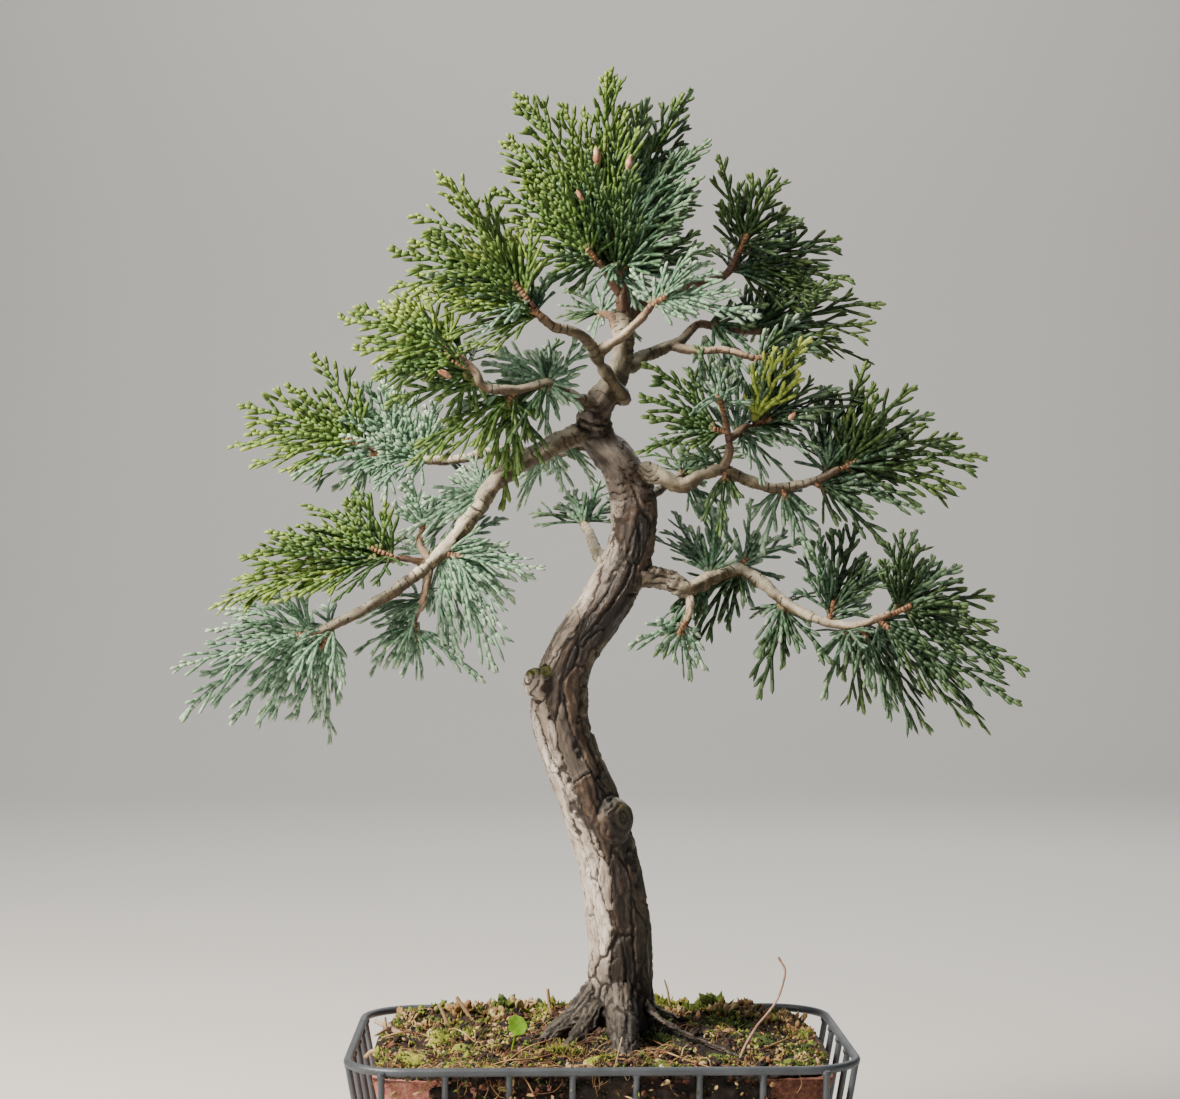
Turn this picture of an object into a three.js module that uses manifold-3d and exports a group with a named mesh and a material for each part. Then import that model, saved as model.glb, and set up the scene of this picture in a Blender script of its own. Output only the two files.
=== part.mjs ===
import * as THREE from 'three';
import { mergeVertices } from 'three/addons/utils/BufferGeometryUtils.js';
import Module from 'manifold-3d';

const wasm = await Module();
wasm.setup();

// A hinoki cypress grown as a bonsai, in a rectangular clay pot that stands in a wire basket.
// Millimetres, +Z up, +Y away from the tree's front. The origin lies under the middle of the
// basket, on the flat underside of its middle bottom wire.

const gap = 0.3;
const weld = 0.25;

const basket = {
  width: 200, depth: 140, height: 81.65, corner: 26, taper: 14,
  rimWire: 3.3, rimBevel: 0.29, wire: 2.6, wireSides: 6, foot: 5, footRise: 4, footSlack: 0.3, lean: 0.1,
  acrossX: [-84, -60, -36, -12, 12, 36, 60, 84], alongY: [-48, -24, 0, 24, 48],
};
const pot = {
  width: 177, depth: 131, top: 76, taper: 18, wall: 5, floor: 6, corner: 9, innerCorner: 6,
  holeRadius: 6, holeX: 45,
};
const soil = {
  edge: 77.6, crown: 6.5, crownWidth: 46, crownX: 8, width: 181, depth: 131, cellsX: 9, cellsY: 6,
  longRipple: 0.7, shortRipple: 0.4, endRounding: 0.14, sideRounding: 0.3, lap: 0.9,
};
const trunk = { sides: 12, ridges: 7, ridgeHeight: 0.06, windPerMm: 0.038, smoothFrom: 300, smoothTo: 420 };
const limbSides = 5;
const frond = {
  thick: 0.75, testThick: 1.35, halfWidth: 1.2, slender: 0.05, cup: 0.35, droop: 0.16, outerWedge: 20,
  sideReach: 11, sideShare: 0.84, longFrom: 58, base: 0.4, neck: 3.4, neckWidth: 0.72, neckLobe: 1.5,
  shorterOutside: 0.2, curveOut: 0.3, rightNub: 0.66, leftNub: 0.56, nubNotch: 0.04,
  palm: 0.3, palmTurn: 1.22,
  facing: 0.9, forward: 0.15, upward: 0.4, depthUpward: 0.7, rollJitter: 40,
  stemRadius: 1.4, stemSides: 4, stemTaper: 0.9, firstFan: 2.6, fanSpacing: 2.3,
  ownCrossing: 0.25, keptVolume: 0.9, plainHeading: 0.3,
};

const hues = {
  coatedWire: '#4b4a4b', terracotta: '#b3735a', earth: '#4a382b', bark: '#8a7466',
  leaf: '#6f8d3c', darkLeaf: '#56783f', blueLeaf: '#6c8f7a', stem: '#8c5a3a', deadWood: '#7b6a58',
};

// ---- solids

function solidFrom(geometry) {
  geometry.deleteAttribute('normal');
  geometry.deleteAttribute('uv');
  const merged = mergeVertices(geometry);
  return new wasm.Manifold(new wasm.Mesh({
    numProp: 3,
    vertProperties: new Float32Array(merged.attributes.position.array),
    triVerts: new Uint32Array(merged.index.array),
  }));
}

function geometryFrom(solid) {
  const mesh = solid.getMesh();
  const geometry = new THREE.BufferGeometry();
  geometry.setAttribute('position', new THREE.BufferAttribute(mesh.vertProperties, mesh.numProp));
  geometry.setIndex(new THREE.BufferAttribute(mesh.triVerts, 1));
  return geometry;
}

function joined(solids) {
  return solids.reduce((whole, piece) => whole.add(piece));
}

// A cut or a join can leave crumbs: the largest body stays.
function largest(solid) {
  return solid.decompose().sort((a, b) => b.volume() - a.volume())[0];
}

function reshaped(geometry, place) {
  const position = geometry.attributes.position;
  const point = new THREE.Vector3();
  for (let i = 0; i < position.count; i++) {
    point.fromBufferAttribute(position, i);
    const moved = place(point.x, point.y, point.z);
    position.setXYZ(i, moved.x, moved.y, moved.z);
  }
  return geometry;
}

function polygon(sides, radius = 1, phase = 0) {
  const corners = [];
  for (let i = 0; i < sides; i++) {
    const angle = phase + i / sides * 2 * Math.PI;
    corners.push(new THREE.Vector2(radius * Math.cos(angle), radius * Math.sin(angle)));
  }
  return new THREE.Shape(corners);
}

function roundedRectangle(width, depth, corner, kind = THREE.Shape) {
  const x = width / 2 - corner;
  const y = depth / 2 - corner;
  const outline = new kind();
  outline.absarc(x, -y, corner, -Math.PI / 2, 0);
  outline.absarc(x, y, corner, 0, Math.PI / 2);
  outline.absarc(-x, y, corner, Math.PI / 2, Math.PI);
  outline.absarc(-x, -y, corner, Math.PI, 1.5 * Math.PI);
  outline.closePath();
  return outline;
}

const vector = (p) => new THREE.Vector3(p[0], p[1], p[2]);

// A straight prism with a ring for each given point is bent along the curve through the points
// and takes the radius given at each of them. The section keeps one way up all along the curve.
function bentLimb({ path, radii, sides, swell, grow = 0 }) {
  const curve = new THREE.CatmullRomCurve3(path.map(vector), false, 'catmullrom', 0.5);
  const steps = path.length - 1;
  const whole = vector(path[steps]).sub(vector(path[0]));
  const lengthways = Math.abs(whole.y) > Math.max(Math.abs(whole.x), Math.abs(whole.z));
  const reference = lengthways ? new THREE.Vector3(0, 0, 1) : new THREE.Vector3(0, 1, 0);
  const rings = [];
  for (let i = 0; i <= steps; i++) {
    const along = curve.getTangent(i / steps);
    const across = new THREE.Vector3().crossVectors(reference, along).normalize();
    const up = new THREE.Vector3().crossVectors(along, across);
    const centre = curve.getPoint(i / steps);
    centre.addScaledVector(along, i === 0 ? -grow : i === steps ? grow : 0);
    rings.push({ centre, across, up, radius: radii[i] + grow });
  }
  const prism = new THREE.ExtrudeGeometry(polygon(sides), { depth: steps, steps, bevelEnabled: false });
  return solidFrom(reshaped(prism, (x, y, z) => {
    const ring = rings[Math.round(z)];
    const bulge = swell ? swell(Math.atan2(y, x), ring.centre.z) : 1;
    const radius = ring.radius * bulge;
    const point = ring.centre.clone().addScaledVector(ring.across, x * radius);
    return point.addScaledVector(ring.up, y * radius);
  }));
}

// ---- basket

const wireFlat = basket.wire / 2 * Math.cos(Math.PI / basket.wireSides);

// A wire bent in one upright plane. Each ring lies in the mitre plane of its bend.
function bentWire(points, planeNormal) {
  const wire = polygon(basket.wireSides, basket.wire / 2, Math.PI / basket.wireSides);
  const last = points.length - 1;
  const prism = new THREE.ExtrudeGeometry(wire, { depth: last, steps: last, bevelEnabled: false });
  const rings = points.map((point, i) => {
    const before = points[Math.max(i - 1, 0)];
    const after = points[Math.min(i + 1, last)];
    const incoming = point.clone().sub(before).normalize();
    const outgoing = after.clone().sub(point).normalize();
    if (i === 0) incoming.copy(outgoing);
    if (i === last) outgoing.copy(incoming);
    const along = incoming.clone().add(outgoing).normalize();
    const across = new THREE.Vector3().crossVectors(planeNormal, along);
    return { point, across, mitre: 1 / along.dot(outgoing) };
  });
  return solidFrom(reshaped(prism, (x, y, z) => {
    const { point, across, mitre } = rings[Math.round(z)];
    return point.clone().addScaledVector(across, x * mitre).addScaledVector(planeNormal, y);
  }));
}

// Down one wall, across the bottom and up the other wall, in (sideways, height) pairs.
function basketLoop(halfTop, bottom) {
  const halfFoot = halfTop - basket.taper;
  const side = [
    [halfTop, basket.height - basket.rimWire / 2],
    [halfFoot + basket.footSlack, bottom + basket.footRise],
    [halfFoot - basket.foot, bottom],
  ];
  return [...side.map(([s, z]) => [-s, z]), ...side.reverse()];
}

function wireBasket() {
  const { width, depth, height, corner, rimWire } = basket;
  const bevel = rimWire * basket.rimBevel;
  const ring = roundedRectangle(width - 2 * bevel, depth - 2 * bevel, corner - bevel);
  const inset = 2 * (rimWire - bevel);
  ring.holes.push(roundedRectangle(width - inset, depth - inset, corner - rimWire + bevel, THREE.Path));
  const rim = new THREE.ExtrudeGeometry(ring, {
    depth: rimWire - 2 * bevel, curveSegments: 2, bevelSegments: 1, bevelSize: bevel, bevelThickness: bevel,
  });
  rim.translate(0, 0, height - rimWire + bevel);

  // The long wires lie lowest, on a flat of their section, and the short ones are welded on them.
  const wires = [solidFrom(rim)];
  const longLoop = basketLoop((width - rimWire) / 2, wireFlat);
  for (const y of basket.alongY) {
    const leanedY = y * (1 - Math.abs(y) / depth * basket.lean);
    const points = longLoop.map(([s, z]) => new THREE.Vector3(s, leanedY, z));
    wires.push(bentWire(points, new THREE.Vector3(0, 1, 0)));
  }
  const shortLoop = basketLoop((depth - rimWire) / 2, 3 * wireFlat - weld).reverse();
  for (const x of basket.acrossX) {
    const points = shortLoop.map(([s, z]) => new THREE.Vector3(x, s, z));
    wires.push(bentWire(points, new THREE.Vector3(1, 0, 0)));
  }
  return joined(wires);
}

// ---- pot and soil

// The pot stands a gap above the two layers of bottom wires.
pot.bottom = 4 * wireFlat - weld + gap;

function taperedTray(width, depth, corner, low, high) {
  const outline = roundedRectangle(width, depth, corner);
  const block = new THREE.ExtrudeGeometry(outline, {
    depth: high - low, curveSegments: 2, bevelEnabled: false,
  });
  const shrink = (z) => pot.taper * 2 * (1 - (z + low - pot.bottom) / (pot.top - pot.bottom));
  return solidFrom(reshaped(block, (x, y, z) => new THREE.Vector3(
    x * (width - shrink(z)) / width, y * (depth - shrink(z)) / depth, z + low,
  )));
}

function clayPot() {
  const { width, depth, corner, innerCorner, wall, bottom, top, floor } = pot;
  const outside = taperedTray(width, depth, corner, bottom, top);
  const inside = taperedTray(width - 2 * wall, depth - 2 * wall, innerCorner, bottom + floor, top + 1);
  let shell = outside.subtract(inside);
  for (const x of [-pot.holeX, pot.holeX]) {
    const drill = new THREE.CylinderGeometry(pot.holeRadius, pot.holeRadius, 3 * floor, 12);
    drill.rotateX(Math.PI / 2).translate(x, 0, bottom);
    shell = shell.subtract(solidFrom(drill));
  }
  return shell;
}

function soilTop(x, y) {
  const nearTrunk = Math.exp(-((x - soil.crownX) ** 2 + y ** 2) / soil.crownWidth ** 2);
  const longRipple = soil.longRipple * Math.sin(x * 0.13 + 1) * Math.cos(y * 0.17);
  const shortRipple = soil.shortRipple * Math.sin(x * 0.31 - y * 0.23);
  return soil.edge + soil.crown * nearTrunk + longRipple + shortRipple;
}

// A mound with round corners lies over the tray's rim and is one body with the soil inside it.
function soilBody(holes) {
  const { wall, innerCorner, width, depth, bottom, floor, top } = pot;
  const inner = 2 * (wall + gap);
  const core = taperedTray(width - inner, depth - inner, innerCorner, bottom + floor + gap, top + soil.lap);
  const mound = new THREE.BoxGeometry(2, 2, 1, soil.cellsX, soil.cellsY, 1);
  const lid = solidFrom(reshaped(mound, (x, y, z) => {
    const px = soil.width / 2 * x * Math.sqrt(1 - soil.endRounding * y ** 4);
    const py = soil.depth / 2 * y * Math.sqrt(1 - soil.sideRounding * x ** 6);
    return new THREE.Vector3(px, py, z > 0 ? soilTop(px, py) : top + gap);
  }));
  return largest(joined([core, lid]).subtract(holes));
}

// ---- wood

const limbs = {
  lowLeft: { path: [[-1, 0, 328], [-8, -4, 326], [-26, -9, 316], [-36, -12, 310], [-45, -14, 301],
    [-53, -16, 289], [-68, -20, 272], [-90, -24, 256], [-112, -28, 245]],
  radii: [4.8, 4.4, 4, 3.6, 3.4, 3.1, 2.7, 2.2, 1.7] },
  lowLeftTwig: { path: [[-68, -20, 272], [-78, -22, 274], [-88, -24, 273]], radii: [1.7, 1.5, 1.3] },
  lowLeftDrop: { path: [[-68, -20, 271], [-70, -20, 260], [-74, -18, 250]], radii: [1.7, 1.4, 1.2] },
  lowLeftRise: { path: [[-68, -20, 272], [-72, -18, 281], [-71, -16, 286]], radii: [1.7, 1.3, 1.2] },
  midLeft: { path: [[-26, -9, 316], [-40, 4, 319], [-55, 10, 316], [-69, 12, 315], [-84, 13, 318],
    [-96, 14, 321]], radii: [2.2, 2, 1.9, 1.8, 1.6, 1.4] },
  upLeftBack: { path: [[2, 0, 336], [-12, -12, 340], [-21, -18, 344], [-34, -24, 341], [-46, -28, 342],
    [-50, -30, 348], [-58, -32, 355]], radii: [2.8, 2.4, 2.1, 1.9, 1.8, 1.7, 1.4] },
  upLeftFront: { path: [[10, 0, 340], [9, -8, 341], [0, -18, 352], [-5, -26, 360], [-12, -32, 364],
    [-19, -36, 365], [-25, -38, 370], [-29, -40, 375]], radii: [2.8, 2.6, 2.4, 2.2, 2, 1.8, 1.6, 1.4] },
  frontTwig: { path: [[0, -18, 352], [0, -21, 357], [7, -30, 361], [15, -34, 368], [20, -36, 374]],
    radii: [2.2, 2, 1.8, 1.6, 1.4] },
  upRight: { path: [[9, 0, 352], [23, 8, 360], [34, 12, 365], [41, 15, 372], [48, 18, 372], [59, 20, 370],
    [70, 22, 370]], radii: [3, 2.5, 2.1, 1.8, 1.7, 1.5, 1.4] },
  upRightLow: { path: [[31, 10, 362], [42, 4, 360], [52, 0, 360], [64, -4, 356]],
    radii: [1.8, 1.6, 1.5, 1.3] },
  midRight: { path: [[10, 0, 311], [25, -6, 308], [33, -8, 304], [41, -9, 308], [51, -10, 310],
    [69, -9, 303], [87, -7, 306], [98, -6, 311]], radii: [4.2, 3.4, 3, 2.7, 2.5, 2.1, 1.8, 1.5] },
  midRightRise: { path: [[49, -10, 309], [52, -14, 317], [51, -18, 325], [49, -20, 334]],
    radii: [1.9, 1.6, 1.4, 1.2] },
  midRightFork: { path: [[51, -16, 321], [58, -12, 327], [62, -8, 328]], radii: [1.5, 1.4, 1.2] },
  lowRight: { path: [[8, 0, 268], [27, -4, 266], [36, -5, 262], [47, 6, 267], [57, 14, 270], [65, 14, 267],
    [81, 6, 254], [101, -2, 247], [119, -5, 252]], radii: [4.8, 4.2, 3.4, 3, 2.8, 2.6, 2.2, 1.8, 1.4] },
  lowRightDrop: { path: [[36, -5, 262], [37, -7, 255], [35, -9, 249]], radii: [1.8, 1.5, 1.2] },
  topRight: { path: [[11, 0, 370], [21, 12, 383], [36, 16, 388], [53, 18, 393], [59, 20, 403]],
    radii: [2.4, 2, 1.8, 1.6, 1.4] },
  topBack: { path: [[10, 1, 374], [12, 8, 384], [15, 16, 394], [19, 24, 406]], radii: [2, 1.7, 1.5, 1.3] },
  crownLeft: { path: [[9, 0, 382], [3, -4, 391], [-1, -6, 396]], radii: [1.9, 1.6, 1.3] },
  rearLow: { path: [[3, 0, 272], [-1, 20, 279], [-3, 38, 286], [-5, 50, 290]], radii: [3.2, 2.4, 2, 1.5] },
  rearHigh: { path: [[9, 0, 364], [6, 16, 375], [2, 34, 379]], radii: [2.4, 1.9, 1.4] },
  rearLeft: { path: [[0, 0, 324], [-11, 24, 321], [-19, 42, 318]], radii: [3, 2.2, 1.5] },
  rearRight: { path: [[13, 0, 296], [23, 22, 302], [36, 44, 311]], radii: [3, 2.2, 1.5] },
  frontRoot: { path: [[8, 2, 108], [8.6, -12, 98], [9, -30, 85], [9, -50, 72]], radii: [6, 6.6, 6.4, 4.5] },
  leftRoot: { path: [[3, 0, 104], [-8, -5, 90], [-20, -10, 81], [-32, -14, 70]],
    radii: [6.5, 6, 4.6, 2.5] },
  nearLeftRoot: { path: [[4, -3, 98], [-6, -16, 86], [-14, -28, 78], [-20, -38, 69]],
    radii: [5, 4.6, 3.6, 2.2] },
  rightRoot: { path: [[12, 0, 102], [22, -13, 91], [38, -26, 84], [56, -40, 78], [66, -46, 70]],
    radii: [5, 2.4, 1.6, 1.3, 1] },
  backRoot: { path: [[10, 0, 104], [20, 14, 88], [34, 26, 79], [44, 34, 69]], radii: [6.5, 5.4, 3.8, 2.2] },
  farLeftRoot: { path: [[5, 2, 100], [-4, 18, 86], [-14, 30, 78], [-22, 40, 69]],
    radii: [5.5, 4.6, 3.4, 2] },
};

// The trunk rises in two lazy bends and thins out towards the crown.
const trunkPath = [[8.6, 0, 50], [8.6, 0, 78], [8.6, 0, 101], [8.4, 0, 125], [3.7, 0, 153],
  [-4, 0, 176], [-12, 0, 196], [-16, 0, 214], [-11.3, 0, 235], [3.7, 0, 258],
  [12.8, 0, 278], [14.4, 0, 297], [8.6, 0, 312.6], [-0.7, 0, 324.5], [-1.4, 0, 335],
  [6.6, 0, 348], [10.7, 0, 365], [9.6, 0, 383], [6.2, 0, 397], [4.6, 0, 409]];
const trunkRadii = [14, 16, 13.5, 13.2, 12.6, 12.2, 11.6, 11.8, 10.3, 10.4, 9.6, 9.6, 8, 7.2, 6.8,
  5, 3.7, 2.7, 2.2, 1.7];

// Callused scars where branches were cut off.
const knots = [
  { centre: [-22, -5, 224], radius: 7 },
  { centre: [6, -8, 169], radius: 8 },
];

// Long bark plates wind slowly round the trunk and fade out where it gets thin.
function barkPlates(angle, height) {
  const { ridges, ridgeHeight, windPerMm, smoothFrom, smoothTo } = trunk;
  const wind = angle * ridges + height * windPerMm;
  return 1 + ridgeHeight * Math.sin(wind) * Math.min(1, (smoothTo - height) / (smoothTo - smoothFrom));
}

function knot({ centre, radius }, grow) {
  const boss = new THREE.SphereGeometry(radius + grow, 8, 5);
  boss.rotateX(Math.PI / 2).scale(1, 0.55, 1).translate(...centre);
  return solidFrom(boss);
}

function wood(grow) {
  const stem = { path: trunkPath, radii: trunkRadii, sides: trunk.sides, swell: barkPlates };
  const pieces = [bentLimb({ ...stem, grow })];
  for (const { path, radii } of Object.values(limbs)) {
    pieces.push(bentLimb({ path, radii, sides: limbSides, grow }));
  }
  for (const scar of knots) pieces.push(knot(scar, grow));
  return joined(pieces);
}

// ---- leafy shoots

// Each shoot grows from its root point on the wood. A fan is the point its middle finger ends
// at, and the angle that its fingers spread over.
const shoots = {
  low_left_tip: { root: [-112, -28, 245],
    fans: [[-165, -34, 239, 42], [-155, -42, 205, 48], [-147, -12, 260, 52]] },
  low_left_under: { root: [-105, -27, 248],
    fans: [[-131, -20, 207, 52], [-105, -8, 204, 42], [-116, -64, 234, 52], [-135, 10, 241, 56]] },
  left_green_tip: { root: [-88, -24, 273], fans: [[-149, -38, 259, 34], [-138, -28, 279, 48]] },
  left_green_top: { root: [-81, -22.5, 274],
    fans: [[-122, -14, 293, 48], [-99, -30, 297, 56], [-102, -64, 263, 52], [-108, 18, 279, 56]] },
  left_inner_up: { root: [-71, -16, 286], fans: [[-75, -30, 305, 62]] },
  left_inner_right: { root: [-64, -19, 276],
    fans: [[-26, -34, 272, 36], [-38, -46, 253, 42], [-39, -6, 290, 48]] },
  left_inner_low: { root: [-74, -18, 250],
    fans: [[-49, -30, 227, 48], [-71, -10, 227, 52], [-96, -22, 238, 56]] },
  left_back: { root: [-45, -14, 301], fans: [[-74, 16, 290, 48]] },
  mid_left_tip: { root: [-96, 14, 321],
    fans: [[-146, 2, 333, 40], [-153, 22, 316, 36], [-123, 6, 354, 48]] },
  mid_left_under: { root: [-90, 13.5, 319.5], fans: [[-122, 0, 308, 48], [-103, 24, 299, 62]] },
  mid_left_top: { root: [-84, 13, 318], fans: [[-99, 24, 355, 48]] },
  mid_left_depth: { root: [-69, 12, 315], fans: [[-87, -30, 309, 52], [-88, 54, 324, 56]] },
  upper_left_drop: { root: [-34, -24, 341], fans: [[-71, -34, 309, 32], [-45, -14, 297, 34]] },
  upper_left_rear: { root: [-21, -18, 344], fans: [[-42, -2, 361, 66]] },
  left_pad_tip: { root: [-58, -32, 355],
    fans: [[-93, -38, 375, 42], [-104, -26, 362, 40], [-81, -14, 383, 48]] },
  left_pad_low: { root: [-51, -30, 349],
    fans: [[-86, -42, 347, 42], [-62, -68, 357, 52], [-73, 10, 366, 56]] },
  high_left_tip: { root: [-29, -40, 375],
    fans: [[-63, -44, 424, 32], [-74, -54, 401, 40], [-43, -24, 415, 42]] },
  high_left_low: { root: [-24, -38, 369], fans: [[-72, -30, 389, 40], [-39, -78, 375, 52]] },
  crown_peak: { root: [4.6, 0, 409], fans: [[3, -6, 473, 28], [21, 10, 460, 36]] },
  crown_left: { root: [5.2, 0, 405], fans: [[-31, -14, 462, 32], [-40, 6, 444, 36]] },
  crown_right: { root: [5.8, 0, 401], fans: [[35, 8, 468, 28], [45, -12, 442, 40]] },
  crown_low_left: { root: [-1, -6, 396], fans: [[-44, -18, 418, 40], [-16, -34, 434, 48]] },
  crown_low_right: { root: [7.4, 0, 391], fans: [[39, 16, 432, 42], [26, -34, 405, 52]] },
  crown_depth: { root: [8.2, 0, 388], fans: [[1, -50, 426, 48], [-5, 44, 441, 52]] },
  top_back_tip: { root: [19, 24, 406], fans: [[29, 48, 435, 52], [10, 60, 435, 52]] },
  high_right_tip: { root: [59, 20, 403], fans: [[59, 12, 443, 42], [77, 30, 439, 42], [81, 2, 415, 42]] },
  high_right_low: { root: [54, 18.5, 395],
    fans: [[104, 32, 405, 40], [101, 4, 385, 36], [67, 60, 416, 54]] },
  upper_right_tip: { root: [70, 22, 370], fans: [[118, 16, 379, 36], [114, 36, 363, 40]] },
  upper_right_top: { root: [64, 21, 370], fans: [[91, 6, 394, 42], [85, 64, 375, 54]] },
  front_pale: { root: [20, -36, 374], fans: [[56, -56, 375, 46], [35, -42, 396, 48]] },
  upper_right_low: { root: [64, -4, 356], fans: [[88, -16, 362, 52]] },
  mid_right_left: { root: [51, -18, 325], fans: [[14, -26, 346, 36], [18, -34, 318, 48]] },
  mid_right_up: { root: [49, -20, 334], fans: [[41, -12, 360, 48], [41, -60, 335, 52]] },
  mid_right_far: { root: [62, -8, 328], fans: [[112, 6, 343, 36], [81, -22, 359, 42], [84, -28, 321, 56]] },
  mid_right_back: { root: [55, -14, 325], fans: [[72, 32, 342, 54]] },
  mid_right_drop: { root: [51, -10, 310], fans: [[48, -22, 286, 66]] },
  right_tip: { root: [98, -6, 311], fans: [[155, -10, 309, 32], [146, 10, 328, 36], [122, -22, 344, 40]] },
  right_top: { root: [92, -6.6, 308], fans: [[107, 6, 355, 40], [121, 42, 319, 52]] },
  right_under: { root: [86, -7, 305.5], fans: [[126, -24, 297, 42], [115, 0, 280, 42]] },
  right_inner: { root: [74, -8.5, 303], fans: [[84, -22, 278, 56]] },
  low_right_inner: { root: [58, 14, 270], fans: [[62, 6, 298, 56], [86, 28, 281, 56]] },
  low_right_back: { root: [47, 6, 267], fans: [[39, 20, 298, 46], [22, 16, 284, 46]] },
  low_right_left: { root: [35, -9, 249], fans: [[14, -18, 241, 48], [36, -10, 226, 48]] },
  low_right_hang: { root: [76, 8, 258], fans: [[68, 2, 219, 36], [91, -10, 235, 48], [73, 50, 253, 54]] },
  low_right_mid: { root: [94, 1, 249], fans: [[88, -12, 284, 40], [102, 12, 291, 36], [117, -6, 275, 46]] },
  low_right_tip: { root: [119, -5, 252],
    fans: [[125, -18, 284, 42], [159, 6, 264, 40], [170, -20, 236, 32]] },
  low_right_under: { root: [113, -4, 250], fans: [[164, -28, 220, 32], [155, -6, 204, 32]] },
  low_right_end: { root: [106, -3, 248], fans: [[138, 8, 210, 36], [117, -16, 212, 36]] },
  low_right_depth: { root: [100, -2, 247],
    fans: [[109, 12, 212, 42], [104, -46, 242, 52], [129, 40, 241, 54]] },
  rear_low: { root: [-5, 50, 290], fans: [[-20, 80, 300, 52], [14, 78, 299, 52]] },
  rear_high: { root: [2, 34, 379], fans: [[-14, 62, 382, 54], [18, 66, 374, 54]] },
  rear_left: { root: [-19, 42, 318], fans: [[-44, 68, 316, 48]] },
  rear_right: { root: [36, 44, 311], fans: [[66, 66, 325, 48], [50, 66, 292, 48], [32, 76, 330, 48]] },
};

function lehmer(seed) {
  let state = seed * 7919 + 17;
  return () => {
    state = (state * 1664525 + 1013904223) % 4294967296;
    return state / 4294967296;
  };
}

// The fan's fingers in its own plane: u runs from the stem outwards, v across.
function fanFingers(length, spread, random) {
  const count = length > frond.longFrom ? 4 : 3;
  const wedge = spread / (count - 1) / 2;
  const fingers = [];
  for (let i = 0; i < count; i++) {
    const place = 2 * i / (count - 1) - 1;
    const shorter = frond.shorterOutside * (1 + random());
    fingers.push({
      angle: THREE.MathUtils.degToRad(place * spread / 2),
      length: length * (1 - place * place * shorter),
      right: THREE.MathUtils.degToRad(i === 0 ? frond.outerWedge : wedge),
      left: THREE.MathUtils.degToRad(i === count - 1 ? frond.outerWedge : wedge),
    });
  }
  return fingers;
}

// Fingers leave the stem wider and bend forward to their own angle.
function onFinger(finger, share, aside) {
  const angle = finger.angle * (1 + frond.curveOut * (1 - share));
  const radius = finger.length * share;
  return new THREE.Vector2(
    radius * Math.cos(angle) - aside * Math.sin(finger.angle),
    radius * Math.sin(angle) + aside * Math.cos(finger.angle),
  );
}

function sideReach(radius, wedge) {
  return Math.min(frond.sideReach, frond.sideShare * radius * Math.tan(wedge));
}

// A narrow neck, then each finger with a nub on the sides where there is room, and the palm
// between two fingers.
function fanOutline(fingers) {
  const { neck, base, neckWidth } = frond;
  const points = [];
  for (const [u, v] of [[neck, neckWidth], [0.1, base], [0.1, -base], [neck, -neckWidth]]) {
    points.push(new THREE.Vector2(u, v));
  }
  fingers.forEach((finger, i) => {
    const next = fingers[i + 1];
    const halfWidth = Math.min(frond.halfWidth, frond.slender * finger.length);
    if (next) {
      const reach = sideReach(finger.length * frond.rightNub, finger.right);
      points.push(onFinger(finger, frond.rightNub, -reach));
      points.push(onFinger(finger, frond.rightNub - frond.nubNotch, -halfWidth));
    }
    points.push(onFinger(finger, 1, 0));
    if (i > 0) {
      const reach = sideReach(finger.length * frond.leftNub, finger.left);
      points.push(onFinger(finger, frond.leftNub - frond.nubNotch, halfWidth));
      points.push(onFinger(finger, frond.leftNub, reach));
    }
    if (next) {
      const middle = (finger.angle + next.angle) / 2 * frond.palmTurn;
      const notch = Math.max(frond.palm * Math.min(finger.length, next.length), neck + frond.neckLobe);
      points.push(new THREE.Vector2(notch * Math.cos(middle), notch * Math.sin(middle)));
    }
  });
  return new THREE.Shape(points);
}

// The turns a fan may take to keep clear of its neighbours, the smallest first:
// sideways, up, rolled (degrees) and how much of its length it keeps.
const turns = [[0, 0, 0, 1]];
for (const size of [1, 0.86, 0.72]) {
  for (const step of [7, 14, 21, 28]) {
    for (const roll of [0, 35, -35]) {
      for (const [side, up] of [[1, 0], [-1, 0], [0, 1], [0, -1], [1, 1], [-1, 1], [1, -1], [-1, -1]]) {
        turns.push([side * step, up * step, roll, size]);
      }
    }
  }
}

// Where a fan starts and the way it lies: outwards, across, and out of its upper face.
function fanFrame(start, tip, [side, up, roll, size], random) {
  const reach = tip.clone().sub(start);
  reach.z += frond.droop * reach.length();
  const length = reach.length();
  const sideways = new THREE.Vector3().crossVectors(reach, new THREE.Vector3(0, 0, 1));
  if (sideways.length() < 0.2 * length) sideways.set(1, 0, 0);
  sideways.normalize();
  reach.applyAxisAngle(sideways, THREE.MathUtils.degToRad(up));
  reach.applyAxisAngle(new THREE.Vector3(0, 0, 1), THREE.MathUtils.degToRad(side));
  const outwards = reach.clone().normalize();
  // The upper face looks to the front and up, and only up on a fan that grows to the front or back.
  const depthways = Math.abs(outwards.y);
  const frontward = frond.facing * (1 - depthways) + frond.forward;
  const face = new THREE.Vector3(0, -frontward, frond.upward + frond.depthUpward * depthways);
  face.addScaledVector(outwards, -face.dot(outwards)).normalize();
  const jitter = frond.rollJitter * (random() - 0.5);
  face.applyAxisAngle(outwards, THREE.MathUtils.degToRad(roll + jitter));
  const across = new THREE.Vector3().crossVectors(face, outwards);
  return { start, outwards, across, face, length: length * size };
}

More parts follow.
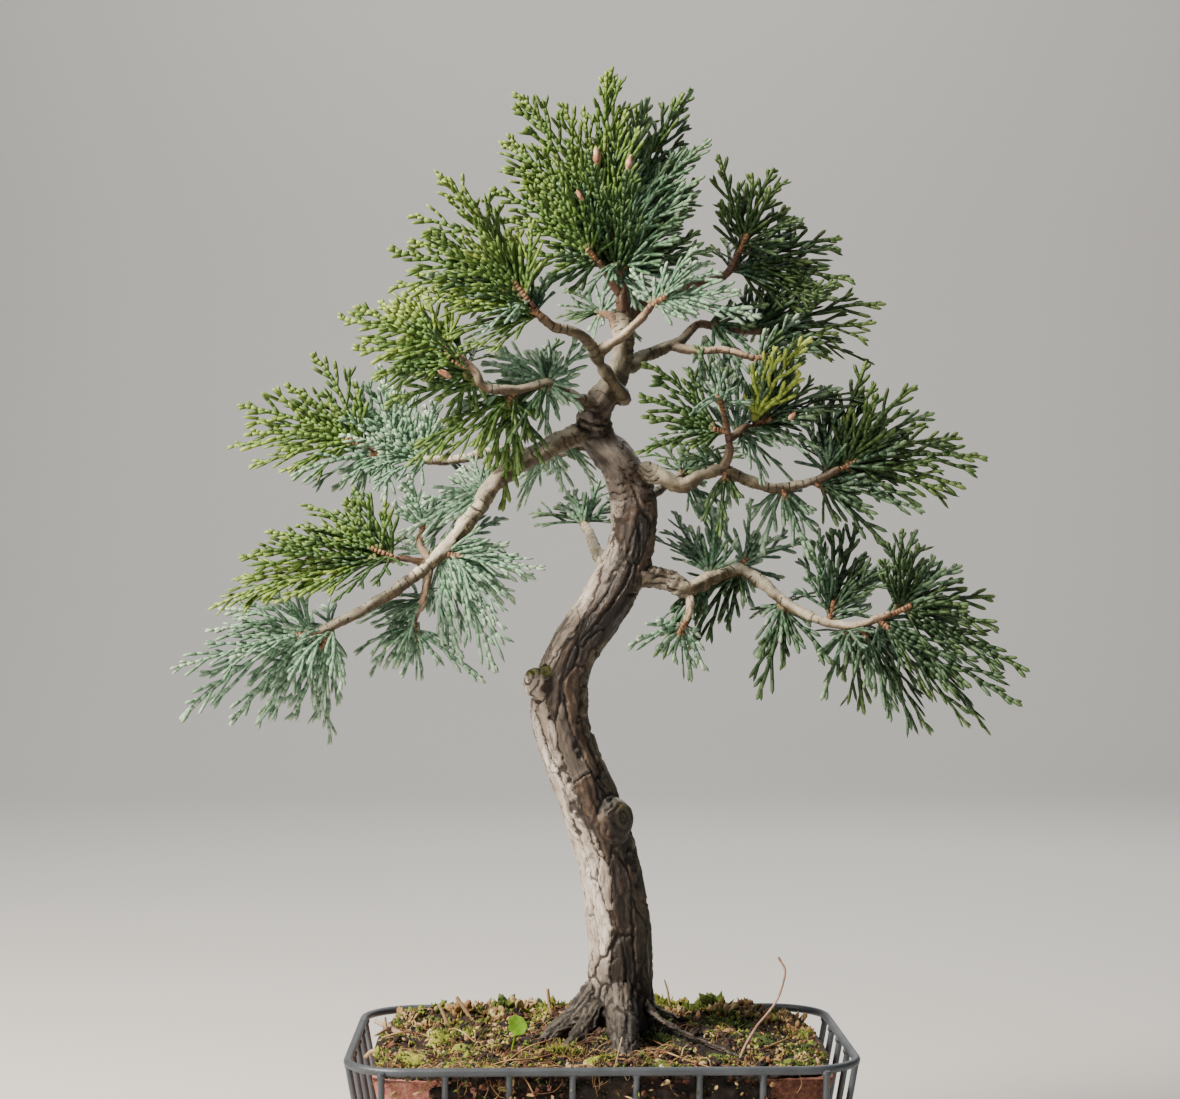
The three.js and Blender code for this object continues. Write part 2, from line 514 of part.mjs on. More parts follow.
function fanSolid(frame, fingers, thick) {
  const { start, outwards, across, face, length } = frame;
  const blade = new THREE.ExtrudeGeometry(fanOutline(fingers), { depth: thick, bevelEnabled: false });
  return solidFrom(reshaped(blade, (u, v, w) => {
    const point = start.clone().addScaledVector(outwards, u).addScaledVector(across, v);
    point.addScaledVector(face, w - thick / 2 - frond.cup * v * v / length);
    point.z -= frond.droop * u * u / length;
    return point;
  }));
}

function boxesMeet(a, b) {
  return [0, 1, 2].every((axis) => a.min[axis] < b.max[axis] && b.min[axis] < a.max[axis]);
}

function meets(solid, others) {
  const box = solid.boundingBox();
  return others.some((other) => boxesMeet(box, other.box) && solid.intersect(other.solid).volume() > 0);
}

// The blade of the first turn that keeps clear of the other shoots and of the wood, and crosses
// its own shoot's blades the least it can: a crossing one is only used when no turn is free.
function clearBlade(place, others, own, woodClear) {
  const { start, tip, spread, seed } = place;
  let spare = null;
  for (const turn of turns) {
    const random = lehmer(seed);
    const frame = fanFrame(start, tip, turn, random);
    const fingers = fanFingers(frame.length, spread, random);
    if (meets(fanSolid(frame, fingers, frond.testThick), others)) continue;
    const blade = fanSolid(frame, fingers, frond.thick);
    const kept = largest(blade.subtract(woodClear)).volume() / blade.volume();
    if (kept < frond.keptVolume) continue;
    const crossing = own.reduce((sum, other) => sum + blade.intersect(other).volume(), 0);
    if (crossing <= frond.ownCrossing) return blade;
    spare ??= blade;
  }
  return spare;
}

function leafyShoots(fixed, woodClear) {
  const placed = fixed.map((solid) => ({ solid, box: solid.boundingBox() }));
  return Object.entries(shoots).map(([name, shoot], index) => {
    const root = vector(shoot.root);
    const heading = new THREE.Vector3();
    for (const fan of shoot.fans) heading.add(vector(fan).sub(root).normalize());
    if (heading.length() < frond.plainHeading) heading.set(0, 0, 1);
    heading.normalize();

    // The fan that turns most off the stem leaves it first.
    const fans = shoot.fans.map((fan, i) => {
      const offStem = vector(fan).sub(root).angleTo(heading);
      return { tip: vector(fan), spread: fan[3], seed: 100 * index + i, offStem };
    });
    fans.sort((a, b) => b.offStem - a.offStem);
    const stemLength = frond.firstFan + frond.fanSpacing * (fans.length - 1) + frond.stemRadius * 0.65;
    const stemEnd = root.clone().addScaledVector(heading, stemLength);
    const stem = bentLimb({
      path: [root.toArray(), stemEnd.toArray()],
      radii: [frond.stemRadius, frond.stemRadius * frond.stemTaper], sides: frond.stemSides,
    });
    const blades = [];
    fans.forEach((fan, rank) => {
      const start = root.clone().addScaledVector(heading, frond.firstFan + frond.fanSpacing * rank);
      const blade = clearBlade({ ...fan, start }, placed, blades, woodClear);
      if (blade) blades.push(blade);
    });
    const solid = largest(joined([stem, ...blades]).subtract(woodClear));
    placed.push({ solid, box: solid.boundingBox() });
    return { name, solid };
  });
}

// ---- litter on the soil

const leafCentre = [-33.5, -30.5, 92];

function roundLeaf(grow) {
  const stalk = bentLimb({
    path: [[-45, -46, 70], [-44, -45, 79], [-39, -38, 85], leafCentre],
    radii: [0.8, 0.8, 0.7, 0.6], sides: limbSides, grow,
  });
  if (grow) return stalk;
  const disc = new THREE.CylinderGeometry(3.8, 3.8, 0.8, 9);
  disc.rotateX(-0.5).rotateZ(0.3).translate(...leafCentre);
  return stalk.add(solidFrom(disc));
}

function curledStem(grow) {
  return bentLimb({
    path: [[50, -44, 70], [51, -43, 80], [58, -40, 90], [68, -39, 101], [72, -39, 112], [68, -38, 117]],
    radii: [0.9, 0.9, 0.8, 0.8, 0.7, 0.6], sides: limbSides, grow,
  });
}

function dryTwig() {
  return bentLimb({
    path: [[-92, 20, 83.3], [-86, 15, 81.7], [-80, 10, 79.5], [-72, 4, 78.95]],
    radii: [0.9, 1.1, 1.1, 0.8], sides: limbSides,
  });
}

// ---- the tree

const group = new THREE.Group();

function addPiece(name, solid, color, roughness, metalness = 0) {
  const material = new THREE.MeshStandardMaterial({ color, roughness, metalness, flatShading: true });
  const mesh = new THREE.Mesh(geometryFrom(solid), material);
  mesh.name = name;
  group.add(mesh);
}

const woodSolid = wood(0);
const woodClear = wood(gap);
const basketSolid = wireBasket();
const potSolid = clayPot();
const soilSolid = soilBody(joined([woodClear, roundLeaf(gap), curledStem(gap)]));

addPiece('wire_basket', basketSolid, hues.coatedWire, 0.45, 0.3);
addPiece('clay_pot', potSolid, hues.terracotta, 0.9);
addPiece('soil', soilSolid, hues.earth, 1);
addPiece('trunk_and_branches', woodSolid, hues.bark, 0.85);
addPiece('round_leaf', roundLeaf(0), hues.leaf, 0.6);
addPiece('curled_stem', curledStem(0), hues.stem, 0.8);
addPiece('dry_twig', dryTwig(), hues.deadWood, 0.9);

const foliage = leafyShoots([roundLeaf(gap), curledStem(gap)], woodClear);
foliage.forEach(({ name, solid }, i) => {
  addPiece(name, solid, [hues.leaf, hues.darkLeaf, hues.blueLeaf][i % 3], 0.7);
});

export default group;
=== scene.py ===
import math
import bpy
import numpy as np
from mathutils import Matrix, Vector


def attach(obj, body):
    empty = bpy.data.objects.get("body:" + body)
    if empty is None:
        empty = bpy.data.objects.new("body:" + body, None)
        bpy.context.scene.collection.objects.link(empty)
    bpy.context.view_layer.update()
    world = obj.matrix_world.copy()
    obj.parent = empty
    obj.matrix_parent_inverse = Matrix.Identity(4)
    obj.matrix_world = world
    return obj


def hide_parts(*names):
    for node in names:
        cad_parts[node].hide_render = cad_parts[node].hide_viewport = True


# A hinoki cypress bonsai in a clay tray, in a wire basket. Sizes are in millimetres where they
# are written down, and in metres on the pieces.
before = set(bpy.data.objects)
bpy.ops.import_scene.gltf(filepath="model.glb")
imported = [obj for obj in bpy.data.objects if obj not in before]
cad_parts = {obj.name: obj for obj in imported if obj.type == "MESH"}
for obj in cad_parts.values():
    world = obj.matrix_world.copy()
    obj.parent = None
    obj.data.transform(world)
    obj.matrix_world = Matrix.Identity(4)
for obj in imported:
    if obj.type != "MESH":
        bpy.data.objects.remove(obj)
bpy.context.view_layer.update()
mm = 0.001
# the view that the tree is set out in, and that the camera takes: its place, how far it tips up and
# turns to the right in degrees, its lens, and the size of the picture
view = {"x": -28.5, "y": -942, "z": 258, "tipped": 1.23, "turned": 1.51, "lens": 70.47, "film": 36,
        "wide": 1180, "high": 1099}


# ---- working helpers

def focus(piece):
    bpy.ops.object.select_all(action="DESELECT")
    piece.select_set(True)
    bpy.context.view_layer.objects.active = piece


def editSelection(piece, faceTest=None, edgeTest=None, mode="FACE"):
    # leaves the piece in edit mode, with only the faces or edges that pass the test selected
    focus(piece)
    bpy.ops.object.mode_set(mode="EDIT")
    bpy.ops.mesh.select_mode(type=mode)
    bpy.ops.mesh.select_all(action="DESELECT")
    bpy.ops.object.mode_set(mode="OBJECT")
    mesh = piece.data
    if faceTest:
        for face in mesh.polygons:
            face.select = faceTest(face)
    if edgeTest:
        for edge in mesh.edges:
            first, second = (mesh.vertices[i].co for i in edge.vertices)
            edge.select = edgeTest(first, second)
    bpy.ops.object.mode_set(mode="EDIT")


def endEdit():
    bpy.ops.object.mode_set(mode="OBJECT")


def applyModifier(piece, kind, **settings):
    focus(piece)
    modifier = piece.modifiers.new(kind, kind)
    for key, value in settings.items():
        setattr(modifier, key, value)
    bpy.ops.object.modifier_apply(modifier=modifier.name)


def pointsOf(piece):
    points = np.empty(len(piece.data.vertices) * 3)
    piece.data.vertices.foreach_get("co", points)
    return points.reshape(-1, 3)


def movePoints(piece, points):
    piece.data.vertices.foreach_set("co", np.ascontiguousarray(points, dtype=float).ravel())
    piece.data.update()


def setValues(piece, name, values):
    values = np.asarray(values, dtype=float)
    kind, key = ("FLOAT_VECTOR", "vector") if values.ndim == 2 else ("FLOAT", "value")
    attribute = piece.data.attributes.new(name, kind, "POINT")
    attribute.data.foreach_set(key, values.ravel())


def meshPiece(name, points, faces):
    mesh = bpy.data.meshes.new(name)
    mesh.from_pydata(points.tolist(), [], faces.tolist())
    mesh.shade_smooth()
    piece = bpy.data.objects.new(name, mesh)
    bpy.context.collection.objects.link(piece)
    return piece


def tubes(name, paths, roundness=1, closed=False):
    # one mesh of round tubes; a path is a list of (x, y, z, radius) in millimetres
    curve = bpy.data.curves.new(name, "CURVE")
    curve.dimensions = "3D"
    curve.bevel_depth = 1
    curve.bevel_resolution = roundness
    curve.use_fill_caps = True
    for path in paths:
        spline = curve.splines.new("POLY")
        spline.points.add(len(path) - 1)
        spline.use_cyclic_u = closed
        for point, (x, y, z, radius) in zip(spline.points, path):
            point.co = (x * mm, y * mm, z * mm, 1)
            point.radius = radius * mm
    piece = bpy.data.objects.new(name, curve)
    bpy.context.collection.objects.link(piece)
    focus(piece)
    bpy.ops.object.convert(target="MESH")
    piece = bpy.context.active_object
    piece.data.shade_smooth()
    return piece


def joinInto(name, pieces):
    bpy.ops.object.select_all(action="DESELECT")
    for piece in pieces:
        piece.select_set(True)
    bpy.context.view_layer.objects.active = pieces[0]
    bpy.ops.object.join()
    pieces[0].name = pieces[0].data.name = name
    return pieces[0]


def smoothPath(knots, perSpan):
    # a curve through the knots, of any number of values each
    knots = np.asarray(knots, dtype=float)
    ends = [2 * knots[0] - knots[1], *knots, 2 * knots[-1] - knots[-2]]
    path = []
    for p0, p1, p2, p3 in zip(ends, ends[1:], ends[2:], ends[3:]):
        for t in np.arange(perSpan) / perSpan:
            path.append(0.5 * (2 * p1 + (p2 - p0) * t + (2 * p0 - 5 * p1 + 4 * p2 - p3) * t ** 2
                               + (3 * p1 - p0 - 3 * p2 + p3) * t ** 3))
    path.append(knots[-1])
    return np.array(path)


def copies(template, origins, axes):
    # the template's own x, y and z go along the three axes given for each copy
    points, faces = template
    placed = np.einsum("pi,kij->kpj", points, axes) + origins[:, None, :]
    shift = np.arange(len(origins))[:, None, None] * len(points)
    return placed.reshape(-1, 3), (faces[None] + shift).reshape(-1, faces.shape[1])


def unit(vectors):
    return vectors / np.linalg.norm(vectors, axis=-1, keepdims=True)


def smoothstep(low, high, value):
    t = np.clip((value - low) / (high - low), 0, 1)
    return t * t * (3 - 2 * t)


def settle(piece, finish, slot, *nodes):
    piece.data.materials.clear()
    piece.data.materials.append(finish)
    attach(piece, "root")
    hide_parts(*nodes)


# ---- finishes

def hexColour(code):
    # a colour of the screen, as the shader's linear light
    parts = [int(code[i:i + 2], 16) / 255 for i in (0, 2, 4)]
    return (*[part / 12.92 if part <= 0.04045 else ((part + 0.055) / 1.055) ** 2.4 for part in parts], 1)


class Value:
    # a node's output; sums and products of values add their Math nodes
    def __init__(self, finish, socket):
        self.finish = finish
        self.socket = socket

    def math(self, operation, first, second):
        return self.finish.node("Math", {"operation": operation}, {0: first, 1: second})

    def __add__(self, other):
        return self.math("ADD", self, other)

    def __sub__(self, other):
        return self.math("SUBTRACT", self, other)

    def __rsub__(self, other):
        return self.math("SUBTRACT", other, self)

    def __mul__(self, other):
        return self.math("MULTIPLY", self, other)

    __radd__ = __add__
    __rmul__ = __mul__


class Finish:
    # a material whose nodes are added one by one
    def __init__(self, name, roughness):
        self.material = bpy.data.materials.new(name)
        self.material.use_nodes = True
        self.tree = self.material.node_tree
        self.shader = self.tree.nodes["Principled BSDF"]
        self.shader.inputs["Roughness"].default_value = roughness

    def node(self, kind, settings=None, inputs=None, output=0):
        node = self.tree.nodes.new("ShaderNode" + kind)
        for key, value in (settings or {}).items():
            if key == "stops":
                self.setStops(node.color_ramp, value)
            else:
                setattr(node, key, value)
        for key, value in (inputs or {}).items():
            if isinstance(value, Value):
                self.tree.links.new(value.socket, node.inputs[key])
            else:
                node.inputs[key].default_value = value
        return Value(self, node.outputs[output])

    def setStops(self, ramp, stops):
        while len(ramp.elements) < len(stops):
            ramp.elements.new(1)
        for element, (position, colour) in zip(ramp.elements, stops):
            element.position = position
            element.color = hexColour(colour)

    def place(self, scale=(1, 1, 1), attribute=None):
        # where a point lies on the piece, stretched by the scale
        if attribute:
            source = self.node("Attribute", {"attribute_name": attribute}, output=1)
        else:
            source = self.node("TexCoord", output=3)
        return self.node("Mapping", inputs={0: source, 3: scale})

    def attribute(self, name):
        return self.node("Attribute", {"attribute_name": name}, output=2)

    def threeOf(self, name):
        # the three numbers of a vector attribute
        source = self.node("Attribute", {"attribute_name": name}, output=1)
        parts = self.node("SeparateXYZ", inputs={0: source}).socket.node.outputs
        return [Value(self, part) for part in parts]

    def greater(self, first, second):
        return self.node("Math", {"operation": "MAXIMUM"}, {0: first, 1: second})

    def noise(self, place, scale, detail=3, rough=0.5, warp=0):
        sockets = {"Vector": place, "Scale": scale, "Detail": detail, "Roughness": rough,
                   "Distortion": warp}
        return self.node("TexNoise", inputs=sockets)

    def ramp(self, factor, *stops):
        return self.node("ValToRGB", {"stops": stops}, {0: factor})

    def between(self, value, low, high):
        # 0 below low and 1 above high
        sockets = {0: value, 1: low, 2: high, 3: 0, 4: 1}
        return self.node("MapRange", {"clamp": True, "interpolation_type": "SMOOTHSTEP"}, sockets)

    def mix(self, factor, first, second, blend="MIX"):
        colours = [hexColour(c) if isinstance(c, str) else c for c in (first, second)]
        settings = {"data_type": "RGBA", "blend_type": blend}
        return self.node("Mix", settings, {0: factor, 6: colours[0], 7: colours[1]}, output=2)

    def feed(self, name, value):
        self.tree.links.new(value.socket, self.shader.inputs[name])

    def bump(self, height, depth, strength=1):
        # the height runs from 0 to 1 over the depth in millimetres
        sockets = {"Strength": strength, "Distance": depth * mm, "Height": height}
        self.feed("Normal", self.node("Bump", inputs=sockets))


# ---- how the tree is laid out

# Branches, as the view shows them: across, down, the depth in mm behind the middle of the tree, and
# the radius in mm.
branchLines = {
    "lowLeft": [(597, 427, 0, 4.8), (580, 432, -4, 4.4), (535, 455, -9, 4), (510, 471, -12, 3.6),
                (489, 493, -14, 3.4), (468, 522, -16, 3.1), (430, 565, -20, 2.7),
                (375, 604, -24, 2.2), (318, 632, -28, 1.7)],
    "lowLeftTwig": [(430, 565, -20, 1.7), (404, 559, -22, 1.5), (379, 561, -24, 1.3)],
    "lowLeftDrop": [(430, 567, -20, 1.7), (425, 594, -20, 1.4), (415, 619, -18, 1.2)],
    "lowLeftRise": [(430, 565, -20, 1.7), (421, 541, -18, 1.3), (423, 529, -16, 1.2)],
    "midLeft": [(535, 455, -9, 2.2), (500, 449, 4, 2), (465, 458, 10, 1.9), (430, 462, 12, 1.8),
                (395, 455, 13, 1.6), (365, 447, 14, 1.4)],
    "upLeftBack": [(604, 408, 0, 2.8), (570, 395, -12, 2.4), (547, 383, -18, 2.1),
                   (515, 391, -24, 1.9), (486, 386, -28, 1.8), (474, 372, -30, 1.7),
                   (455, 353, -32, 1.4)],
    "upLeftFront": [(623, 398, 0, 2.8), (622, 394, -8, 2.6), (600, 365, -18, 2.4),
                    (588, 343, -26, 2.2), (572, 330, -32, 2), (553, 326, -36, 1.8),
                    (538, 314, -38, 1.6), (528, 300, -40, 1.4)],
    "frontTwig": [(600, 365, -18, 2.2), (600, 351, -21, 2), (620, 338, -30, 1.8),
                  (640, 318, -34, 1.6), (652, 304, -36, 1.4)],
    "upRight": [(621, 369, 0, 3), (655, 352, 8, 2.5), (680, 340, 12, 2.1), (697, 325, 15, 1.8),
                (712, 325, 18, 1.7), (740, 330, 20, 1.5), (766, 330, 22, 1.4)],
    "upRightLow": [(674, 346, 10, 1.8), (701, 351, 4, 1.6), (727, 350, 0, 1.5), (756, 358, -4, 1.3)],
    "midRight": [(623, 469, 0, 4.2), (660, 476, -6, 3.4), (681, 485, -8, 3), (702, 475, -9, 2.7),
                 (725, 469, -10, 2.5), (771, 487, -9, 2.1), (815, 481, -7, 1.8), (841, 468, -6, 1.5)],
    "midRightRise": [(722, 472, -10, 1.9), (730, 452, -14, 1.6), (728, 432, -18, 1.4),
                     (723, 409, -20, 1.2)],
    "midRightFork": [(727, 442, -16, 1.5), (745, 428, -12, 1.4), (754, 425, -8, 1.2)],
    "lowRight": [(619, 575, 0, 4.8), (665, 579, -4, 4.2), (688, 589, -5, 3.4), (712, 578, 6, 3),
                 (735, 570, 14, 2.8), (755, 577, 14, 2.6), (795, 608, 6, 2.2), (847, 627, -2, 1.8),
                 (893, 613, -5, 1.4)],
    "lowRightDrop": [(688, 589, -5, 1.8), (691, 606, -7, 1.5), (686, 621, -9, 1.2)],
    "topRight": [(626, 324, 0, 2.4), (650, 296, 12, 2), (685, 285, 16, 1.8), (725, 274, 18, 1.6),
                 (739, 251, 20, 1.4)],
    "topBack": [(623, 315, 1, 2), (627, 293, 8, 1.7), (634, 270, 16, 1.5), (642, 245, 24, 1.3)],
    "crownLeft": [(621, 295, 0, 1.9), (606, 272, -4, 1.6), (598, 259, -6, 1.3)],
    "rearLow": [(606, 565, 0, 3.2), (596, 548, 20, 2.4), (589, 532, 38, 2), (584, 524, 50, 1.5)],
    "rearHigh": [(621, 339, 0, 2.4), (612, 318, 16, 1.9), (602, 312, 34, 1.4)],
    "rearLeft": [(599, 437, 0, 3), (572, 448, 24, 2.2), (552, 458, 42, 1.5)],
    "rearRight": [(631, 506, 0, 3), (652, 494, 22, 2.2), (680, 474, 44, 1.5)],
}
# roots, in mm: x, y, z and the radius
roots = {
    "frontRoot": [(8, 2, 108, 6), (8.6, -12, 98, 6.6), (9, -30, 85, 6.4), (9, -50, 72, 4.5)],
    "leftRoot": [(3, 0, 104, 6.5), (-8, -5, 90, 6), (-20, -10, 81, 4.6), (-32, -14, 70, 2.5)],
    "nearLeftRoot": [(4, -3, 98, 5), (-6, -16, 86, 4.6), (-14, -28, 78, 3.6), (-20, -38, 69, 2.2)],
    "rightRoot": [(12, 0, 102, 5), (22, -13, 91, 1.8), (38, -26, 84, 1.2), (56, -40, 78, 1.1),
                  (66, -46, 70, 1)],
    "backRoot": [(10, 0, 104, 6.5), (20, 14, 88, 5.4), (34, 26, 79, 3.8), (44, 34, 69, 2.2)],
    "farLeftRoot": [(5, 2, 100, 5.5), (-4, 18, 86, 4.6), (-14, 30, 78, 3.4), (-22, 40, 69, 2)],
}
# Leafy shoots: the tone, from 0 for the bloomy blue-green of an underside to 1 for bright new
# growth; where the shoot stands, as a branch and which of its points, or in mm between two of them;
# and for each fan where its middle finger ends, laid out as the branches are, and the angle in
# degrees that it spreads over.
shoots = {
    "low_left_tip": (0.12, ("lowLeft", -1), [
        (183, 648, -34, 42), (205, 734, -42, 48), (235, 594, -12, 52)]),
    "low_left_under": (0.05, (-105, -27, 248), [
        (272, 726, -20, 52), (340, 733, -8, 42), (299, 662, -64, 52), (271, 640, 10, 56)]),
    "left_green_tip": (0.8, ("lowLeftTwig", -1), [(222, 596, -38, 34), (252, 545, -28, 48)]),
    "left_green_top": (0.7, (-81, -22.5, 274), [
        (296, 512, -14, 48), (350, 500, -30, 56), (336, 586, -64, 52), (338, 549, 18, 56)]),
    "left_inner_up": (0.1, ("lowLeftRise", -1), [(411, 480, -30, 62)]),
    "left_inner_right": (0.05, (-64, -19, 276), [
        (535, 564, -34, 36), (505, 612, -46, 42), (503, 520, -6, 48)]),
    "left_inner_low": (0.08, ("lowLeftDrop", -1), [
        (476, 677, -30, 48), (424, 676, -10, 52), (360, 649, -22, 56)]),
    "left_back": (0.1, ("lowLeft", 4), [(420, 521, 16, 48)]),
    "mid_left_tip": (0.8, ("midLeft", -1), [
        (242, 415, 2, 40), (230, 460, 22, 36), (298, 366, 6, 48)]),
    "mid_left_under": (0.15, (-90, 13.5, 319.5), [(300, 477, 0, 48), (352, 502, 24, 62)]),
    "mid_left_top": (0.15, ("midLeft", 4), [(360, 366, 24, 48)]),
    "mid_left_depth": (0.25, ("midLeft", 3), [(380, 470, -30, 52), (390, 445, 54, 56)]),
    "upper_left_drop": (0.7, ("upLeftBack", 3), [(422, 470, -34, 32), (487, 503, -14, 34)]),
    "upper_left_rear": (0.15, ("upLeftBack", 2), [(497, 346, -2, 66)]),
    "left_pad_tip": (0.85, ("upLeftBack", -1), [
        (364, 299, -38, 42), (338, 336, -26, 40), (398, 288, -14, 48)]),
    "left_pad_low": (0.75, (-51, -30, 349), [
        (382, 370, -42, 42), (440, 338, -68, 52), (421, 337, 10, 56)]),
    "high_left_tip": (0.78, ("upLeftFront", -1), [
        (440, 173, -44, 32), (411, 228, -54, 40), (492, 205, -24, 42)]),
    "high_left_low": (0.82, (-24, -38, 369), [(418, 268, -30, 40), (500, 285, -78, 52)]),
    "crown_peak": (0.7, (4.6, 0, 409), [(607, 69, -6, 28), (650, 110, 10, 36)]),
    "crown_left": (0.82, (5.2, 0, 405), [(522, 91, -14, 32), (500, 146, 6, 36)]),
    "crown_right": (0.3, (5.8, 0, 401), [(684, 89, 8, 28), (712, 142, -12, 40)]),
    "crown_low_left": (0.75, ("crownLeft", -1), [(490, 200, -18, 40), (560, 151, -34, 48)]),
    "crown_low_right": (0.45, (7.4, 0, 391), [(692, 180, 16, 42), (668, 225, -34, 52)]),
    "crown_depth": (0.6, (8.2, 0, 388), [(605, 164, -50, 48), (584, 170, 44, 52)]),
    "top_back_tip": (0.4, ("topBack", -1), [(663, 185, 48, 52), (618, 190, 60, 52)]),
    "high_right_tip": (0.55, ("topRight", -1), [
        (741, 150, 12, 42), (780, 168, 30, 42), (798, 214, 2, 42)]),
    "high_right_low": (0.55, (54, 18.5, 395), [
        (844, 250, 32, 40), (846, 290, 4, 36), (749, 235, 60, 54)]),
    "upper_right_tip": (0.6, ("upRight", -1), [(883, 308, 16, 36), (865, 352, 36, 40)]),
    "upper_right_top": (0.55, (64, 21, 370), [(820, 268, 6, 42), (790, 330, 64, 54)]),
    "front_pale": (0.1, ("frontTwig", -1), [(749, 294, -56, 46), (692, 245, -42, 48)]),
    "upper_right_low": (0.4, ("upRightLow", -1), [(820, 340, -16, 52)]),
    "mid_right_left": (0.6, ("midRightRise", 2), [(636, 378, -26, 36), (647, 446, -34, 48)]),
    "mid_right_up": (0.4, ("midRightRise", -1), [(701, 345, -12, 48), (712, 398, -60, 52)]),
    "mid_right_far": (0.45, ("midRightFork", -1), [
        (872, 392, 6, 36), (804, 345, -22, 42), (813, 440, -28, 56)]),
    "mid_right_back": (0.4, (55, -14, 325), [(767, 400, 32, 54)]),
    "mid_right_drop": (0.5, ("midRight", 4), [(721, 529, -22, 66)]),
    "right_tip": (0.62, ("midRight", -1), [
        (984, 472, -10, 32), (952, 430, 10, 36), (907, 382, -22, 40)]),
    "right_top": (0.55, (92, -6.6, 308), [(859, 362, 6, 40), (880, 455, 42, 52)]),
    "right_under": (0.35, (86, -7, 305.5), [(918, 502, -24, 42), (880, 545, 0, 42)]),
    "right_inner": (0.3, (74, -8.5, 303), [(812, 549, -22, 56)]),
    "low_right_inner": (0.15, (58, 14, 270), [(750, 502, 6, 56), (802, 544, 28, 56)]),
    "low_right_back": (0.1, ("lowRight", 3), [(691, 503, 20, 46), (651, 536, 16, 46)]),
    "low_right_left": (0.15, ("lowRightDrop", -1), [(635, 642, -18, 48), (689, 678, -10, 48)]),
    "low_right_hang": (0.35, (76, 8, 258), [
        (765, 695, 2, 36), (825, 656, -10, 48), (765, 610, 50, 54)]),
    "low_right_mid": (0.3, (94, 1, 249), [
        (818, 534, -12, 40), (845, 519, 12, 36), (888, 557, -6, 46)]),
    "low_right_tip": (0.5, ("lowRight", -1), [
        (913, 534, -18, 42), (985, 585, 6, 40), (1027, 655, -20, 32)]),
    "low_right_under": (0.45, (113, -4, 250), [(1015, 694, -28, 32), (982, 732, -6, 32)]),
    "low_right_end": (0.35, (106, -3, 248), [(935, 716, 8, 36), (892, 714, -16, 36)]),
    "low_right_depth": (0.4, (100, -2, 247), [
        (862, 710, 12, 42), (870, 640, -46, 52), (900, 640, 40, 54)]),
    "rear_low": (0.3, ("rearLow", -1), [(548, 504, 80, 52), (625, 506, 78, 52)]),
    "rear_high": (0.4, ("rearHigh", -1), [(562, 314, 62, 54), (636, 333, 66, 54)]),
    "rear_left": (0.15, ("rearLeft", -1), [(494, 466, 68, 48)]),
    "rear_right": (0.35, ("rearRight", -1), [
        (746, 446, 66, 48), (709, 521, 66, 48), (666, 436, 76, 48)]),
}
